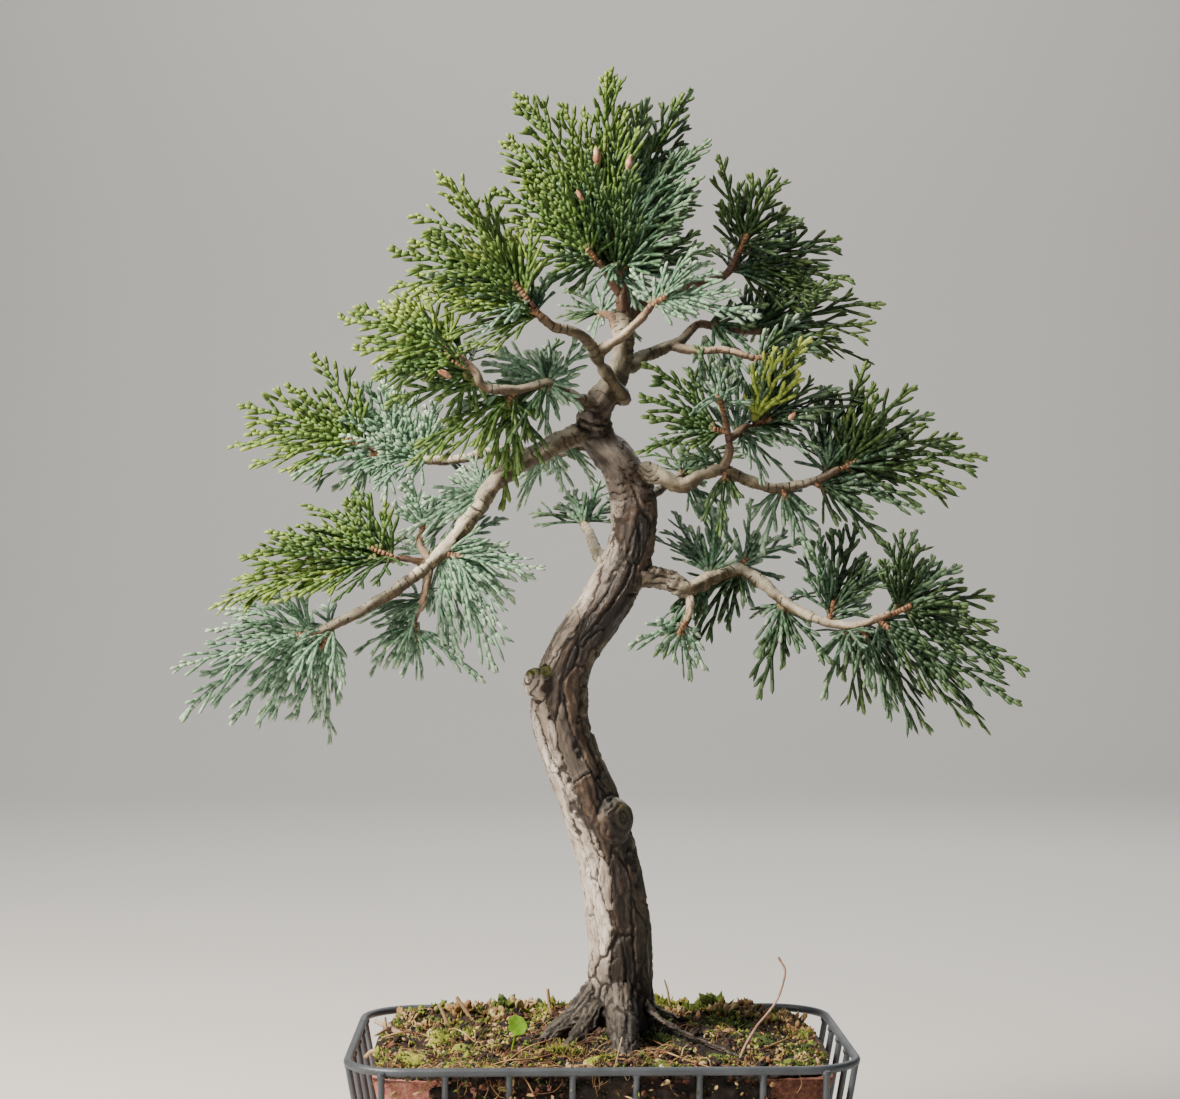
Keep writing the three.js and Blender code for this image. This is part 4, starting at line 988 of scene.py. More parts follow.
def foldRound(knot, points, height, gap, moss):
    # folds of bark round an old branch scar, that crowd together on one side of its eye
    centre, outwards = np.array(knot["centre"], float), unit(np.array(knot["outwards"], float))
    offset = points - centre
    out = offset @ outwards
    flat = (offset - np.outer(out, outwards)) * (1, 1, 0.84)
    reach = knot["radius"]
    wide = np.linalg.norm(flat, axis=1)
    here = smoothstep(reach * 1.2, reach * 0.98, wide) * smoothstep(-3.5, -1, out)
    rim = np.abs(wide - reach * 1.02) + 0.5 * softNoise(points / 2.2, 36) + 9 * (out < -3)
    slid = flat - np.outer(1 - np.clip(wide / reach, 0, 1), knot["eye"])
    wide = np.linalg.norm(slid, axis=1) * (1 + 0.3 * softNoise(points / 3.8, 31))
    fold = np.abs(np.modf(wide / knot["ring"] + 0.5)[0] - 0.5) * knot["ring"]
    fold = fold + 1.2 * smoothstep(0.1, 0.6, softNoise(points / 4.6, 33))
    domed = 0.9 * smoothstep(reach, 0, wide) - 1.3 * smoothstep(1.7, 0.2, wide)
    height[:] = height * (1 - here) + here * (0.65 * smoothstep(0, 0.8, fold) - 0.4 + domed)
    gap[:] = gap * (1 - here) + here * fold
    height[:] -= 0.8 * smoothstep(1.3, 0.1, rim)
    gap[:] = np.minimum(gap, np.maximum(rim * 0.7, 0))
    if knot["moss"]:
        top = smoothstep(0.15, 0.75, offset[:, 2] / reach + 0.3 * softNoise(points / 2, 35))
        moss[:] = np.maximum(moss, here * top)


def woodAttributes(piece, samples):
    points = pointsOf(piece) / mm
    normals = normalsOf(piece)
    chosen, seam = nearestSamples(points, samples)
    straight, near, ahead = unrolled(points, samples, chosen)
    kind, girth = near[:, 14], near[:, 13]
    waves = [softNoise(points / 9, 5), softNoise(points / 9, 6), 2.2 * softNoise(points / 9, 7)]
    jags = [softNoise(points / 2.1, 8), softNoise(points / 2.1, 9), softNoise(points / 2.1, 10)]
    laid = straight + 1.4 * np.column_stack(waves) + 0.55 * np.column_stack(jags)
    laid[kind == 1] *= bark["rootScale"]  # roots crack into smaller pieces
    edge, shade, middle = plates(laid, bark["plateSize"], 1)
    edgeSmall, shadeSmall, _ = plates(laid, bark["flakeSize"], 20)
    edge, edgeSmall = np.minimum(edge, 3), np.minimum(edgeSmall, 3)
    edge[kind == 1] /= bark["rootScale"]
    # old bark low down; smooth young skin with rings across it higher up and out on the limbs
    old = smoothstep(bark["smoothAbove"] + 14, bark["smoothAbove"] - 6, points[:, 2])
    old = np.where(kind == 2, old * smoothstep(26, 14, near[:, 12]), old)
    old = np.where(kind == 1, 0.85, old)
    rough = np.zeros(len(points))
    for spot, reach in roughSpots:
        far = np.linalg.norm(points - np.array(spot), axis=1) + 2.5 * softNoise(points / 3, 24)
        rough = np.maximum(rough, smoothstep(reach, reach * 0.55, far))
    old = np.maximum(old, rough * 0.8)
    # pale weathered plates keep to the side of the window, and the ones on the other side have fallen off to
    # darker bark; this also paints the window side lighter and the far side darker, as painted light and
    # painted shade
    sideways = (near[:, 6] * middle[:, 0] + near[:, 9] * middle[:, 1]) / np.maximum(girth, 1)
    paleAndLit = smoothstep(-0.2, -0.42, sideways + 0.5 * (shade - 0.5))
    paleAndLit = np.where(kind == 1, 0.3 * paleAndLit, paleAndLit)
    # on the young limbs the tops and the window side are painted lighter and the undersides darker: painted
    # light and painted shade
    upward = 0.75 * normals[:, 2] - 0.45 * normals[:, 0] + 0.5 * softNoise(points / 6, 21)
    paleAndLit = old * paleAndLit + (1 - old) * smoothstep(-0.28, 0.4, upward)
    cut = smoothstep(0, 0.7, edge)
    smallCut = smoothstep(0, 0.5, edgeSmall) * smoothstep(0.3, 0.55, shadeSmall)
    smallGap = np.where(shadeSmall > 0.42, edgeSmall, 3)
    height = old * (bark["plateDeep"] * (cut - 1) + bark["paleLift"] * (paleAndLit - 0.5)
                    + bark["curl"] * smoothstep(2.2, 1.0, edge) * cut + 0.4 * (shade - 0.5)
                    + bark["flakeDeep"] * (smallCut - 1) + 0.25 * (shadeSmall - 0.5))
    spacing = bark["ringSpacing"] + bark["ringPerGirth"] * girth
    turn = near[:, 15] + ahead / spacing + 0.3 * softNoise(points / 3.4, 12)
    ringGap = np.abs(np.modf(turn + 100)[0] - 0.5) * spacing
    ringGap = ringGap + 1.2 * smoothstep(-0.15, 0.35, softNoise(points / 4.6, 14))
    young = (1 - old) * np.minimum(1, girth / 3)
    height += young * (bark["knobby"] * softNoise(straight / (3.2, 3.2, 4.4), 15)
                       + 0.3 * softNoise(straight / 1.5, 16)
                       + bark["ringDeep"] * (smoothstep(0, 0.7, ringGap) - 1)
                       + 0.3 * smoothstep(1.6, 0.8, ringGap))
    gap = old * edge + (1 - old) * np.minimum(ringGap, 3)
    # a dark crease where one limb or root leaves another, and rough bark about the big ones
    crease = seam * 0.8 + 0.5 * softNoise(points / 2.4, 23) + 0.35
    height -= 0.6 * smoothstep(1.0, 0, crease) * np.minimum(1, girth / 3)
    gap = np.minimum(gap, np.maximum(crease, 0))
    wrinkle = points[:, 2] / 2.7 + 1.1 * softNoise(points / 5, 26)
    wrinkle = np.abs(np.modf(wrinkle + 100)[0] - 0.5) * 2.7 \
        + 2 * smoothstep(0.1, 0.5, softNoise(points / 4, 27))
    height += rough * (1.1 * softNoise(points / (3.4, 3.4, 1.8), 25) + 0.4
                       - 0.8 * smoothstep(0.9, 0.1, wrinkle))
    gap = np.where(rough > 0.35, np.minimum(gap, wrinkle), gap)
    moss = np.zeros(len(points))
    for knot in knots:
        foldRound(knot, points, height, gap, moss)
    height += 0.13 * softNoise(straight / (0.8, 0.8, 3.0), 17)
    movePoints(piece, (points + normals * height[:, None]) * mm)
    # the damp side of the trunk greens over, and so do the feet of the roots
    rightward = (points[:, 0] - near[:, 0]) / np.maximum(girth, 1)
    damp = smoothstep(0.45, 1.0, rightward + 0.25 * softNoise(points / 12, 18)) * (kind == 0)
    low = smoothstep(122, 88, points[:, 2] + 9 * softNoise(points / 7, 19))
    twiggy = smoothstep(364, 380, points[:, 2])
    setValues(piece, "straight", straight * mm)
    setValues(piece, "skin", np.column_stack([
        shade * 0.7 + shadeSmall * 0.3, paleAndLit * (1 - 0.6 * twiggy), girth / 14 * (1 - 0.65 * twiggy)]))
    setValues(piece, "cracks", np.column_stack([gap, smallGap * old + 3 * (1 - old), rough]))
    setValues(piece, "growth", np.column_stack([np.clip(moss, 0, 1), damp, low]))


trunkTubes = [smoothPath(trunkPath, 6)]
for name in rootNames:
    trunkTubes.append(smoothPath(limbs[name], 6))
for name, length in collars.items():
    start = smoothPath(limbs[name][:4], 6)[:round(8 * length)]
    swell = np.linspace(1.22, 0.9, len(start))
    trunkTubes.append(np.column_stack([start[:, :3], start[:, 3] * swell]))
for knot in knots:
    centre, outwards = np.array(knot["centre"], float), unit(np.array(knot["outwards"], float))
    reach = knot["radius"]
    trunkTubes.append([(*(centre + outwards * step), reach * wide) for step, wide in
                       ((-8, 1.1), (-4, 1.05), (-1, 1), (2, 0.95), (4, 0.82), (5.2, 0.5))])
trunk = fused("trunk_bark", trunkTubes, bark["trunkVoxel"], 4)
branches = fused("branch_bark", [smoothPath(path, 6) for name, path in limbs.items()
                                 if name not in rootNames], bark["limbVoxel"], 2)
woodLines = {name: centreline(path, 1 if name in rootNames else 2, place + 1)
             for place, (name, path) in enumerate(limbs.items())}
limbLines = [line for name, line in woodLines.items() if name not in rootNames]
rootLines = [woodLines[name] for name in rootNames]
collarLines = [line[:14] for line in limbLines]
woodAttributes(trunk, np.vstack([centreline(trunkPath, 0, 0)] + rootLines + collarLines))
woodAttributes(branches, np.vstack(limbLines))

barkFinish = Finish("plated_bark", 0.6)
along = barkFinish.place(attribute="straight")
plateShade, paleAndLit, girth = barkFinish.threeOf("skin")
crackGap, flakeGap, roughBark = barkFinish.threeOf("cracks")
mossy, dampSide, lowDown = barkFinish.threeOf("growth")
stretched = barkFinish.place((1, 1, 0.14), "straight")
streaks = barkFinish.noise(stretched, 950, 5, 0.62, 0.5)
blotches = barkFinish.noise(along, 150, 4, 0.6)
grit = barkFinish.noise(along, 1900, 3, 0.6)
uneven = plateShade + (blotches - 0.5) * 1.1
# pale plates, partly weathered and partly painted light, and dark plates, partly painted shade
paleBark = barkFinish.ramp(uneven, (0.1, "a09285"), (0.4, "c6b9ad"), (0.65, "d8cdc2"), (0.9, "e8e0d6"))
darkBark = barkFinish.ramp(uneven, (0.1, "17120d"), (0.4, "2c2118"), (0.65, "413226"), (0.95, "6e5a49"))
plateColour = barkFinish.mix(paleAndLit, darkBark, paleBark)
streaked = barkFinish.ramp(streaks, (0.28, "4d423c"), (0.45, "c9bfb8"), (0.6, "ffffff"))
plateColour = barkFinish.mix(0.5, plateColour, streaked, "MULTIPLY")
# lit and shaded copies of the young bark: painted light on the tops and the window side, painted shade below
youngLitSide = barkFinish.ramp(blotches + (grit - 0.5) * 0.6, (0.25, "a0957d"), (0.5, "c9bea7"),
                            (0.75, "e4dcc9"))
youngShadedSide = barkFinish.ramp(blotches + (grit - 0.5) * 0.6, (0.25, "352a1b"), (0.5, "51442e"),
                            (0.75, "736446"))
youngColour = barkFinish.mix(paleAndLit, youngShadedSide, youngLitSide)
# the twigs also get a painted-light copy and a painted-shade copy
twigColour = barkFinish.mix(paleAndLit, barkFinish.ramp(grit, (0.3, "452d1f"), (0.7, "6f4d37")),
                            barkFinish.ramp(grit, (0.3, "7d5b43"), (0.7, "b0957b")))
youngColour = barkFinish.mix(barkFinish.between(girth, 0.15, 0.08), youngColour, twigColour)
woodColour = barkFinish.mix(barkFinish.between(girth, 0.5, 0.34), plateColour, youngColour)
woodColour = barkFinish.mix(dampSide * 0.6, woodColour, barkFinish.ramp(
    blotches, (0.3, "2f2b1c"), (0.6, "5d583a")))
woodColour = barkFinish.mix(lowDown * 0.85, woodColour, barkFinish.ramp(
    streaks * 0.5 + blotches * 0.9 - 0.27, (0.3, "0f0c0a"), (0.48, "28231e"), (0.64, "524c45"),
    (0.78, "a9a299")))
woodColour = barkFinish.mix(roughBark * 0.66, woodColour, barkFinish.ramp(
    grit + (blotches - 0.5), (0.3, "1a130d"), (0.6, "3d2e20"), (0.85, "6f5b45")))
mossColour = barkFinish.ramp(grit, (0.3, "3f4420"), (0.55, "74763a"), (0.8, "9c9a58"))
woodColour = barkFinish.mix(barkFinish.between(mossy + (grit - 0.5) * 1.1, 0.35, 0.75), woodColour,
                            mossColour)
fissure = 1 - barkFinish.between(crackGap - lowDown * 0.35 + (grit - 0.5) * 0.6, 0.14, 0.5)
flaking = (1 - barkFinish.between(flakeGap + (grit - 0.5) * 0.6, 0.12, 0.5)) * 0.62
dark = barkFinish.greater(fissure, flaking)
woodColour = barkFinish.mix(dark * 0.92, woodColour, hexColour("1d1511"))
barkFinish.feed("Base Color", woodColour)
barkFinish.feed("Roughness", 0.22 + grit * 0.22 + paleAndLit * 0.26 + dark * 0.3)
barkFinish.bump(streaks * 0.6 + grit * 0.4, 0.8, 1.0)
for piece in (trunk, branches):
    settle(piece, barkFinish.material, "bark", "trunk_and_branches")
print("trunk and branches, faces", len(trunk.data.polygons), len(branches.data.polygons))


# ---- wire basket

basket = {
    "halfWidth": 98.35, "halfDepth": 68.35, "corner": 24.35, "rimHigh": 80, "rimRadius": 1.65,
    "wireRadius": 1.3, "acrossX": (-84, -60, -36, -12, 12, 36, 60, 84),
    "alongY": (-48, -24, 0, 24, 48), "longLow": 1.3, "shortLow": 3.13, "kneeIn": 13.7,
    "footIn": 19, "footRise": 4, "lean": 0.1 / 140, "bendReach": 2.4, "weldRadius": 1.75,
    "weldIn": 0.5, "weldHigh": 78.6, "weldLow": 2.3,
}


def rounded(points, reach):
    # the same path with its corners drawn round
    points = [Vector(p) for p in points]
    path = [points[0]]
    for before, corner, after in zip(points, points[1:], points[2:]):
        first = corner + (before - corner).normalized() * reach
        last = corner + (after - corner).normalized() * reach
        for t in (0, 0.2, 0.4, 0.6, 0.8, 1):
            path.append(first * (1 - t) ** 2 + corner * 2 * t * (1 - t) + last * t ** 2)
    return path + [points[-1]]


def basketWire(half, low, toPoint):
    # one bent wire, down one wall, across the bottom and up the other wall
    knee, foot = half - basket["kneeIn"], half - basket["footIn"]
    side = [(half, basket["rimHigh"]), (knee, low + basket["footRise"]), (foot, low)]
    profile = [(-s, h) for s, h in side] + [(s, h) for s, h in reversed(side)]
    path = rounded([toPoint(s, h) for s, h in profile], basket["bendReach"])
    return [(*point, basket["wireRadius"]) for point in path]


rimPath = []
for quarter in range(4):
    centreX = (1, -1, -1, 1)[quarter] * (basket["halfWidth"] - basket["corner"])
    centreY = (1, 1, -1, -1)[quarter] * (basket["halfDepth"] - basket["corner"])
    for step in range(13):
        angle = math.radians(90 * quarter + 90 * step / 12)
        rimPath.append((centreX + basket["corner"] * math.cos(angle),
                        centreY + basket["corner"] * math.sin(angle), basket["rimHigh"],
                        basket["rimRadius"]))
wirePaths, welds = [], []
for y in basket["alongY"]:
    leaned = y * (1 - abs(y) * basket["lean"])
    wirePaths.append(basketWire(basket["halfWidth"], basket["longLow"],
                                lambda s, h, y=leaned: (s, y, h)))
    welds += [(side * (basket["halfWidth"] - basket["weldIn"]), leaned, basket["weldHigh"])
              for side in (-1, 1)]
for x in basket["acrossX"]:
    wirePaths.append(basketWire(basket["halfDepth"], basket["shortLow"],
                                lambda s, h, x=x: (x, s, h)))
    welds += [(x, side * (basket["halfDepth"] - basket["weldIn"]), basket["weldHigh"])
              for side in (-1, 1)]
    # the long wires rise before they reach the outermost cross wires
    welds += [(x, y * (1 - abs(y) * basket["lean"]), basket["weldLow"])
              for y in basket["alongY"] if abs(x) < 80]

rim = tubes("rim", [rimPath], roundness=5, closed=True)
wires = tubes("wires", wirePaths, roundness=3)
bpy.ops.mesh.primitive_ico_sphere_add(subdivisions=2, radius=basket["weldRadius"] * mm)
nugget = bpy.context.active_object
nuggets = [nugget]
for x, y, z in welds[1:]:
    copied = nugget.copy()
    copied.data = nugget.data.copy()
    copied.location = (x * mm, y * mm, z * mm)
    bpy.context.collection.objects.link(copied)
    nuggets.append(copied)
nugget.location = Vector(welds[0]) * mm
wireBasket = joinInto("basket_wires", [rim, wires] + nuggets)
focus(wireBasket)
bpy.ops.object.transform_apply(location=True, rotation=True, scale=True)
wireBasket.data.shade_smooth()

coating = Finish("powder_coat", 0.45)
place = coating.place()
peel = coating.noise(place, 1400, 3, 0.6)
cloud = coating.noise(place, 60, 3)
rub = coating.noise(place, 320, 4, 0.7)
coat = coating.ramp(cloud + (peel - 0.5) * 0.4, (0.25, "3a3f45"), (0.55, "4b5158"), (0.8, "5d646c"))
coating.feed("Base Color", coating.mix(coating.between(rub, 0.66, 0.78) * 0.6, coat,
                                       hexColour("8d8f8e")))
coating.feed("Roughness", 0.34 + peel * 0.22 + coating.between(rub, 0.62, 0.8) * 0.2)
coating.bump(peel, 0.22, 0.7)
coating.shader.inputs["Metallic"].default_value = 0.25
settle(wireBasket, coating.material, "coated_wire", "wire_basket")
print("wire basket, faces", len(wireBasket.data.polygons))


# ---- clay tray

tray = {"width": 177, "depth": 131, "top": 76, "low": 4.55, "taper": 36, "wall": 5, "floor": 6,
        "corner": 9, "edge": 1.3, "holeRadius": 6, "holeX": 45}
bpy.ops.mesh.primitive_cube_add(size=1, location=(0, 0, (tray["top"] + tray["low"]) / 2 * mm))
pot = bpy.context.active_object
pot.scale = (tray["width"] * mm, tray["depth"] * mm, (tray["top"] - tray["low"]) * mm)
bpy.ops.object.transform_apply(location=True, scale=True)
high = tray["top"] * mm - 0.001
editSelection(pot, lambda face: face.center.z < 0.01)
bpy.ops.transform.resize(value=((tray["width"] - tray["taper"]) / tray["width"],
                                (tray["depth"] - tray["taper"]) / tray["depth"], 1))
endEdit()
editSelection(pot, edgeTest=lambda a, b: abs(a.z - b.z) > 0.03, mode="EDGE")
bpy.ops.mesh.bevel(offset=tray["corner"] * mm, segments=6, affect="EDGES")
endEdit()
editSelection(pot, lambda face: face.center.z > high and face.normal.z > 0.9)
bpy.ops.mesh.inset(thickness=tray["wall"] * mm)
deep = tray["top"] - tray["low"] - tray["floor"]
shrink = tray["taper"] * deep / (tray["top"] - tray["low"])
bpy.ops.mesh.extrude_region_move(TRANSFORM_OT_translate={"value": (0, 0, -deep * mm)})
bpy.ops.transform.resize(value=(1 - shrink / (tray["width"] - 10), 1 - shrink / (tray["depth"] - 10), 1))
endEdit()
for side in (-1, 1):
    bpy.ops.mesh.primitive_cylinder_add(vertices=32, radius=tray["holeRadius"] * mm, depth=0.03,
                                        location=(side * tray["holeX"] * mm, 0, 0.007))
    drill = bpy.context.active_object
    applyModifier(pot, "BOOLEAN", operation="DIFFERENCE", object=drill, solver="EXACT")
    bpy.data.objects.remove(drill)
applyModifier(pot, "BEVEL", width=tray["edge"] * mm, segments=3, limit_method="ANGLE",
              angle_limit=math.radians(50))
focus(pot)
bpy.ops.object.shade_smooth_by_angle(angle=math.radians(40))
pot.name = pot.data.name = "clay_tray"

clay = Finish("terracotta", 0.86)
place = clay.place()
grain = clay.noise(place, 1500, 4, 0.65)
sand = clay.noise(place, 500, 3, 0.6)
shadeEdgeNoise = clay.noise(place, 34, 4, 0.6)
away = clay.node("SeparateXYZ", inputs={0: place})
# painted shade: the right half of the tray takes a dark copy of the clay instead of the lit one, split near
# the middle with a wavering edge
body = clay.ramp(sand + (grain - 0.5) * 0.6, (0.25, "8d4f43"), (0.5, "b9776a"), (0.72, "d6a294"))
dark = clay.ramp(sand + (grain - 0.5) * 0.6, (0.25, "3a2118"), (0.5, "62392a"), (0.75, "8a5a44"))
paintedShadeRightTray = clay.between(away + (shadeEdgeNoise - 0.5) * 0.12, -0.03, 0.05)
clay.feed("Base Color", clay.mix(paintedShadeRightTray, body, dark))
clay.feed("Roughness", 0.74 + grain * 0.24)
clay.bump(grain * 0.6 + sand * 0.4, 0.8, 0.9)
settle(pot, clay.material, "terracotta", "clay_pot")


# ---- soil, moss and litter

soil = {"edge": 77.6, "crown": 6.5, "crownWidth": 46, "crownX": 8, "halfWidth": 90.5, "rearRise": 3.2,
        "halfDepth": 65.5, "cellsX": 190, "cellsY": 120, "skirt": 0.22, "spillDeep": 19, "drawnIn": 0.87,
        "spillLeft": -79, "spillRight": 68, "wallTaper": 18, "wallHigh": 71.5}
# how many of each are strewn
strewn = {"crumbs": 16500, "thinMoss": 2200, "looseTufts": 420, "hanging": 70, "fibres": 430}
# moss cushions: x, y, radius, how tall its shoots are, and its tint
cushions = [
    (-15, -31, 8, 3.0, 0.86), (-64, -4, 8, 2.6, 0.87), (-52, 2, 8, 2.6, 0.86), (-74, -40, 12, 1.8, 0.85),
    (-88, -22, 5, 2.4, 0.86), (-44, -52, 10, 1.8, 0.84), (-58, -24, 9, 1.6, 0.87),
    (28, 50, 8, 3.2, 0.86), (44, 44, 7, 3, 0.88), (56, 30, 9, 2.6, 0.92), (53, 16, 8, 3.2, 0.97),
    (23, -14, 6, 3.0, 0.98), (66, -14, 11, 2.4, 0.97), (80, -34, 9, 2.2, 0.95), (30, -30, 8, 1.6, 0.93),
    (-20, 43, 7, 3, 0.85), (-44, 40, 7, 2.6, 0.88), (-66, 34, 8, 2.2, 0.84), (72, -54, 8, 2, 0.92),
    (-2, -50, 7, 1.8, 0.87), (86, 16, 6, 2.4, 0.9), (2, 42, 9, 2.6, 0.9), (46, -40, 8, 1.8, 0.95),
    (-84, 8, 7, 2.2, 0.86), (22, -58, 8, 1.7, 0.94),
]
# leafy tufts and curled flakes: x, y, how tall, how many leaflets, how wide, and the tint
tufts = [
    (30, 55, 7, 34, 5, 0.88), (45, 55, 7.5, 30, 5, 0.9), (53, 51, 12, 16, 2.4, 0.94),
    (53, 18, 6, 40, 6, 0.97), (23, 0, 6, 26, 4, 0.97), (-20, 47, 9, 5, 2.2, 0.82),
    (-31, 47, 8, 8, 2.6, 0.68), (-41, 48, 7, 14, 3.6, 0.93), (-14, 52, 7, 14, 3.5, 0.84),
    (-91, -28, 5, 14, 3, 0.9), (60, -48, 4.5, 30, 7, 0.56), (84, -52, 5, 4, 1.6, 0.73),
    (-7, -57, 5.5, 9, 4, 0.64), (38, -61, 4, 8, 3, 0.5), (64, 46, 6, 24, 6, 0.62),
    (76, 34, 5, 26, 7, 0.6), (84, 22, 4.5, 18, 6, 0.58), (54, 40, 6, 20, 5, 0.64),
    (-56, 42, 7, 26, 7, 0.6), (-70, 30, 6, 26, 7, 0.62), (-78, 18, 5, 20, 6, 0.6),
    (-38, 34, 5, 22, 6, 0.64), (34, 40, 6, 20, 6, 0.66), (16, 48, 6, 18, 5, 0.84),
]


def soilPlan(u, v):
    # over the rounded plan of the soil, from -1 to 1 each way
    x = soil["halfWidth"] * u * np.sqrt(1 - 0.14 * v ** 4)
    y = soil["halfDepth"] * v * np.sqrt(1 - 0.3 * u ** 6)
    return x, y


def wallInset(down):
    # how far the tapering wall carries the spill inwards on its way down
    return soil["spillDeep"] * down * soil["wallTaper"] / soil["wallHigh"]


def soilTop(x, y):
    mound = soil["crown"] * np.exp(-((x - soil["crownX"]) ** 2 + y ** 2) / soil["crownWidth"] ** 2)
    spots = np.column_stack([np.ravel(x), np.ravel(y), np.zeros(np.size(x))])
    humps = (2.3 * softNoise(spots / 13, 52) + 1.8 * softNoise(spots / 5.5, 53)).reshape(np.shape(x))
    inside = smoothstep(91, 78, np.abs(x)) * smoothstep(66, 56, np.abs(y))
    rise = soil["rearRise"] * smoothstep(10, 48, y)
    return soil["edge"] + mound + inside * (humps + rise)


def wetAndShadedAt(x, y):
    # the soil about the foot of the trunk is dark: wet earth, and painted shade under the tree and between
    # the roots
    return np.exp(-((x - 14) ** 2 + (y + 12) ** 2) / 30 ** 2)


def mossAt(x, y):
    # how mossy the ground is, and the tint of the nearest cushion
    amount, tint = np.zeros_like(x), np.full_like(x, 0.9)
    for cx, cy, radius, tall, colour in cushions:
        here = np.exp(-((x - cx) ** 2 + (y - cy) ** 2) / (radius * 0.85) ** 2)
        tint = np.where(here > amount, colour, tint)
        amount = np.maximum(amount, here)
    return amount, tint


bpy.ops.mesh.primitive_grid_add(x_subdivisions=soil["cellsX"], y_subdivisions=soil["cellsY"], size=2)
mound = bpy.context.active_object
flat = pointsOf(mound)
u = flat[:, 0]
v = flat[:, 1] * (1 + soil["skirt"] / 2) - soil["skirt"] / 2
down = np.clip((-1 - v) / soil["skirt"], 0, 1)
v = np.maximum(v, -1)
x, y = soilPlan(u, v)
spill = smoothstep(soil["spillLeft"] - 6, soil["spillLeft"] + 4, x) \
    * smoothstep(soil["spillRight"] + 7, soil["spillRight"] - 4, x)
z = soilTop(x, y)
bulge = np.sin(np.pi * np.minimum(1, down * 1.05)) ** 0.6 * spill
y = y - 2.4 * bulge + wallInset(down) + (down > 0) * (1 - spill) * 4
z = z - down * soil["spillDeep"]
shaped = np.column_stack([x, y, z])
movePoints(mound, shaped * mm)
lumps = 1.25 * softNoise(shaped / 6, 40) + 0.8 * softNoise(shaped / 2.6, 41) \
    + 0.35 * softNoise(shaped / 1.1, 42)
mossy, mossTint = mossAt(x, y)
mossy = np.where(down > 0, 0.6 * smoothstep(0.4, 0.8, softNoise(shaped / 9, 47)), mossy)
lumps = lumps * (1 + 0.4 * (down > 0)) + 1.8 * mossy * (0.6 + 0.4 * softNoise(shaped / 1.6, 43))
edging = np.minimum(1, (1 - np.maximum(np.abs(u), v)) * 14)
shaped = shaped + normalsOf(mound) * (lumps * np.clip(edging + 0.15, 0, 1))[:, None]
movePoints(mound, shaped * mm)
dryness = 0.16 + 0.18 * softNoise(shaped / 8, 44) + 0.2 * softNoise(shaped / 1.4, 45)
# darker about the foot of the trunk: wet earth and painted shade
dryness = dryness * (1 - 0.8 * wetAndShadedAt(x, y))
mossShare = smoothstep(0.4, 0.6, mossy + 0.45 * softNoise(shaped / 1.7, 46))
mossTint = np.where(down > 0, 0.97, mossTint + 0.05 * softNoise(shaped / 1.3, 49))
setValues(mound, "tint", np.clip(dryness, 0.02, 0.5) * (1 - mossShare) + mossTint * mossShare)
editSelection(mound, lambda face: True)
bpy.ops.mesh.region_to_loop()
# the buried edge draws in with the tapering walls of the tray, so that none of it comes through
bpy.ops.mesh.extrude_region_move(TRANSFORM_OT_translate={"value": (0, 0.002, -0.012)})
bpy.ops.transform.resize(value=(soil["drawnIn"], soil["drawnIn"], 1))
bpy.ops.mesh.edge_face_add()
bpy.ops.mesh.select_all(action="SELECT")
bpy.ops.mesh.normals_make_consistent(inside=False)
endEdit()
mound.name = mound.data.name = "soil_mound"
mound.data.shade_smooth()


bpy.ops.mesh.primitive_cone_add(vertices=4, radius1=1, radius2=0, depth=1.4)
crumb = templateOf(bpy.context.active_object)
bpy.ops.mesh.primitive_cone_add(vertices=3, radius1=1, radius2=0.25, depth=1, location=(0, 0, 0.5))
blade = templateOf(bpy.context.active_object)


def randomSpots(rng, count):
    # places on the soil, with the spill over the front wall among them
    u, v = rng.uniform(-0.97, 0.97, count), rng.uniform(-1.2, 0.97, count)
    down = np.clip((-1 - v) / soil["skirt"], 0, 1)
    v = np.maximum(v, -0.99)
    x, y = soilPlan(u, v)
    keep = (down == 0) | ((x > soil["spillLeft"]) & (x < soil["spillRight"]))
    z = soilTop(x, y) - down * soil["spillDeep"]
    y = y - 2.6 * (down > 0) + wallInset(down)
    return np.column_stack([x, y, z])[keep], (down > 0)[keep]


def randomAxes(rng, sizes):
    # turned any way, and stretched to three sizes
    first = unit(rng.normal(size=(len(sizes), 3)))
    second = unit(np.cross(first, rng.normal(size=(len(sizes), 3))))
    third = np.cross(first, second)
    return np.stack([first, second, third], axis=1) * sizes[:, :, None]


def litterTints(rng, spots):
    # dark earth, brown bark bits, tan flakes or moss, in drifts
    lot = rng.random(len(spots)) + 0.3 * softNoise(spots / 11, 48)
    # darker on the front wall, and about the foot of the trunk as wet earth and painted shade
    lot = np.where(spots[:, 1] < -63, lot * 0.66, lot) * (1 - 0.55 * wetAndShadedAt(spots[:, 0], spots[:, 1]))
    kinds = [lot < 0.46, lot < 0.74, lot < 0.84]
    bands = [rng.uniform(0.02, 0.26, len(spots)), rng.uniform(0.28, 0.5, len(spots)),
             rng.uniform(0.52, 0.7, len(spots))]
    return np.select(kinds, bands, rng.uniform(0.8, 0.98, len(spots)))


def standing(name, template, rng, bases, ahead, lengths, halves, flat):
    # one mesh of blades or leaflets: where each stands and leans, how long, wide and flat it is
    right = unit(np.cross(ahead, rng.normal(size=bases.shape)))
    front = np.cross(ahead, right)
    half = halves[:, None]
    axes = np.stack([right * half, front * half * flat, ahead * lengths[:, None]], axis=1)
    points, faces = copies(template, bases * mm, axes * mm)
    return meshPiece(name, points, faces)


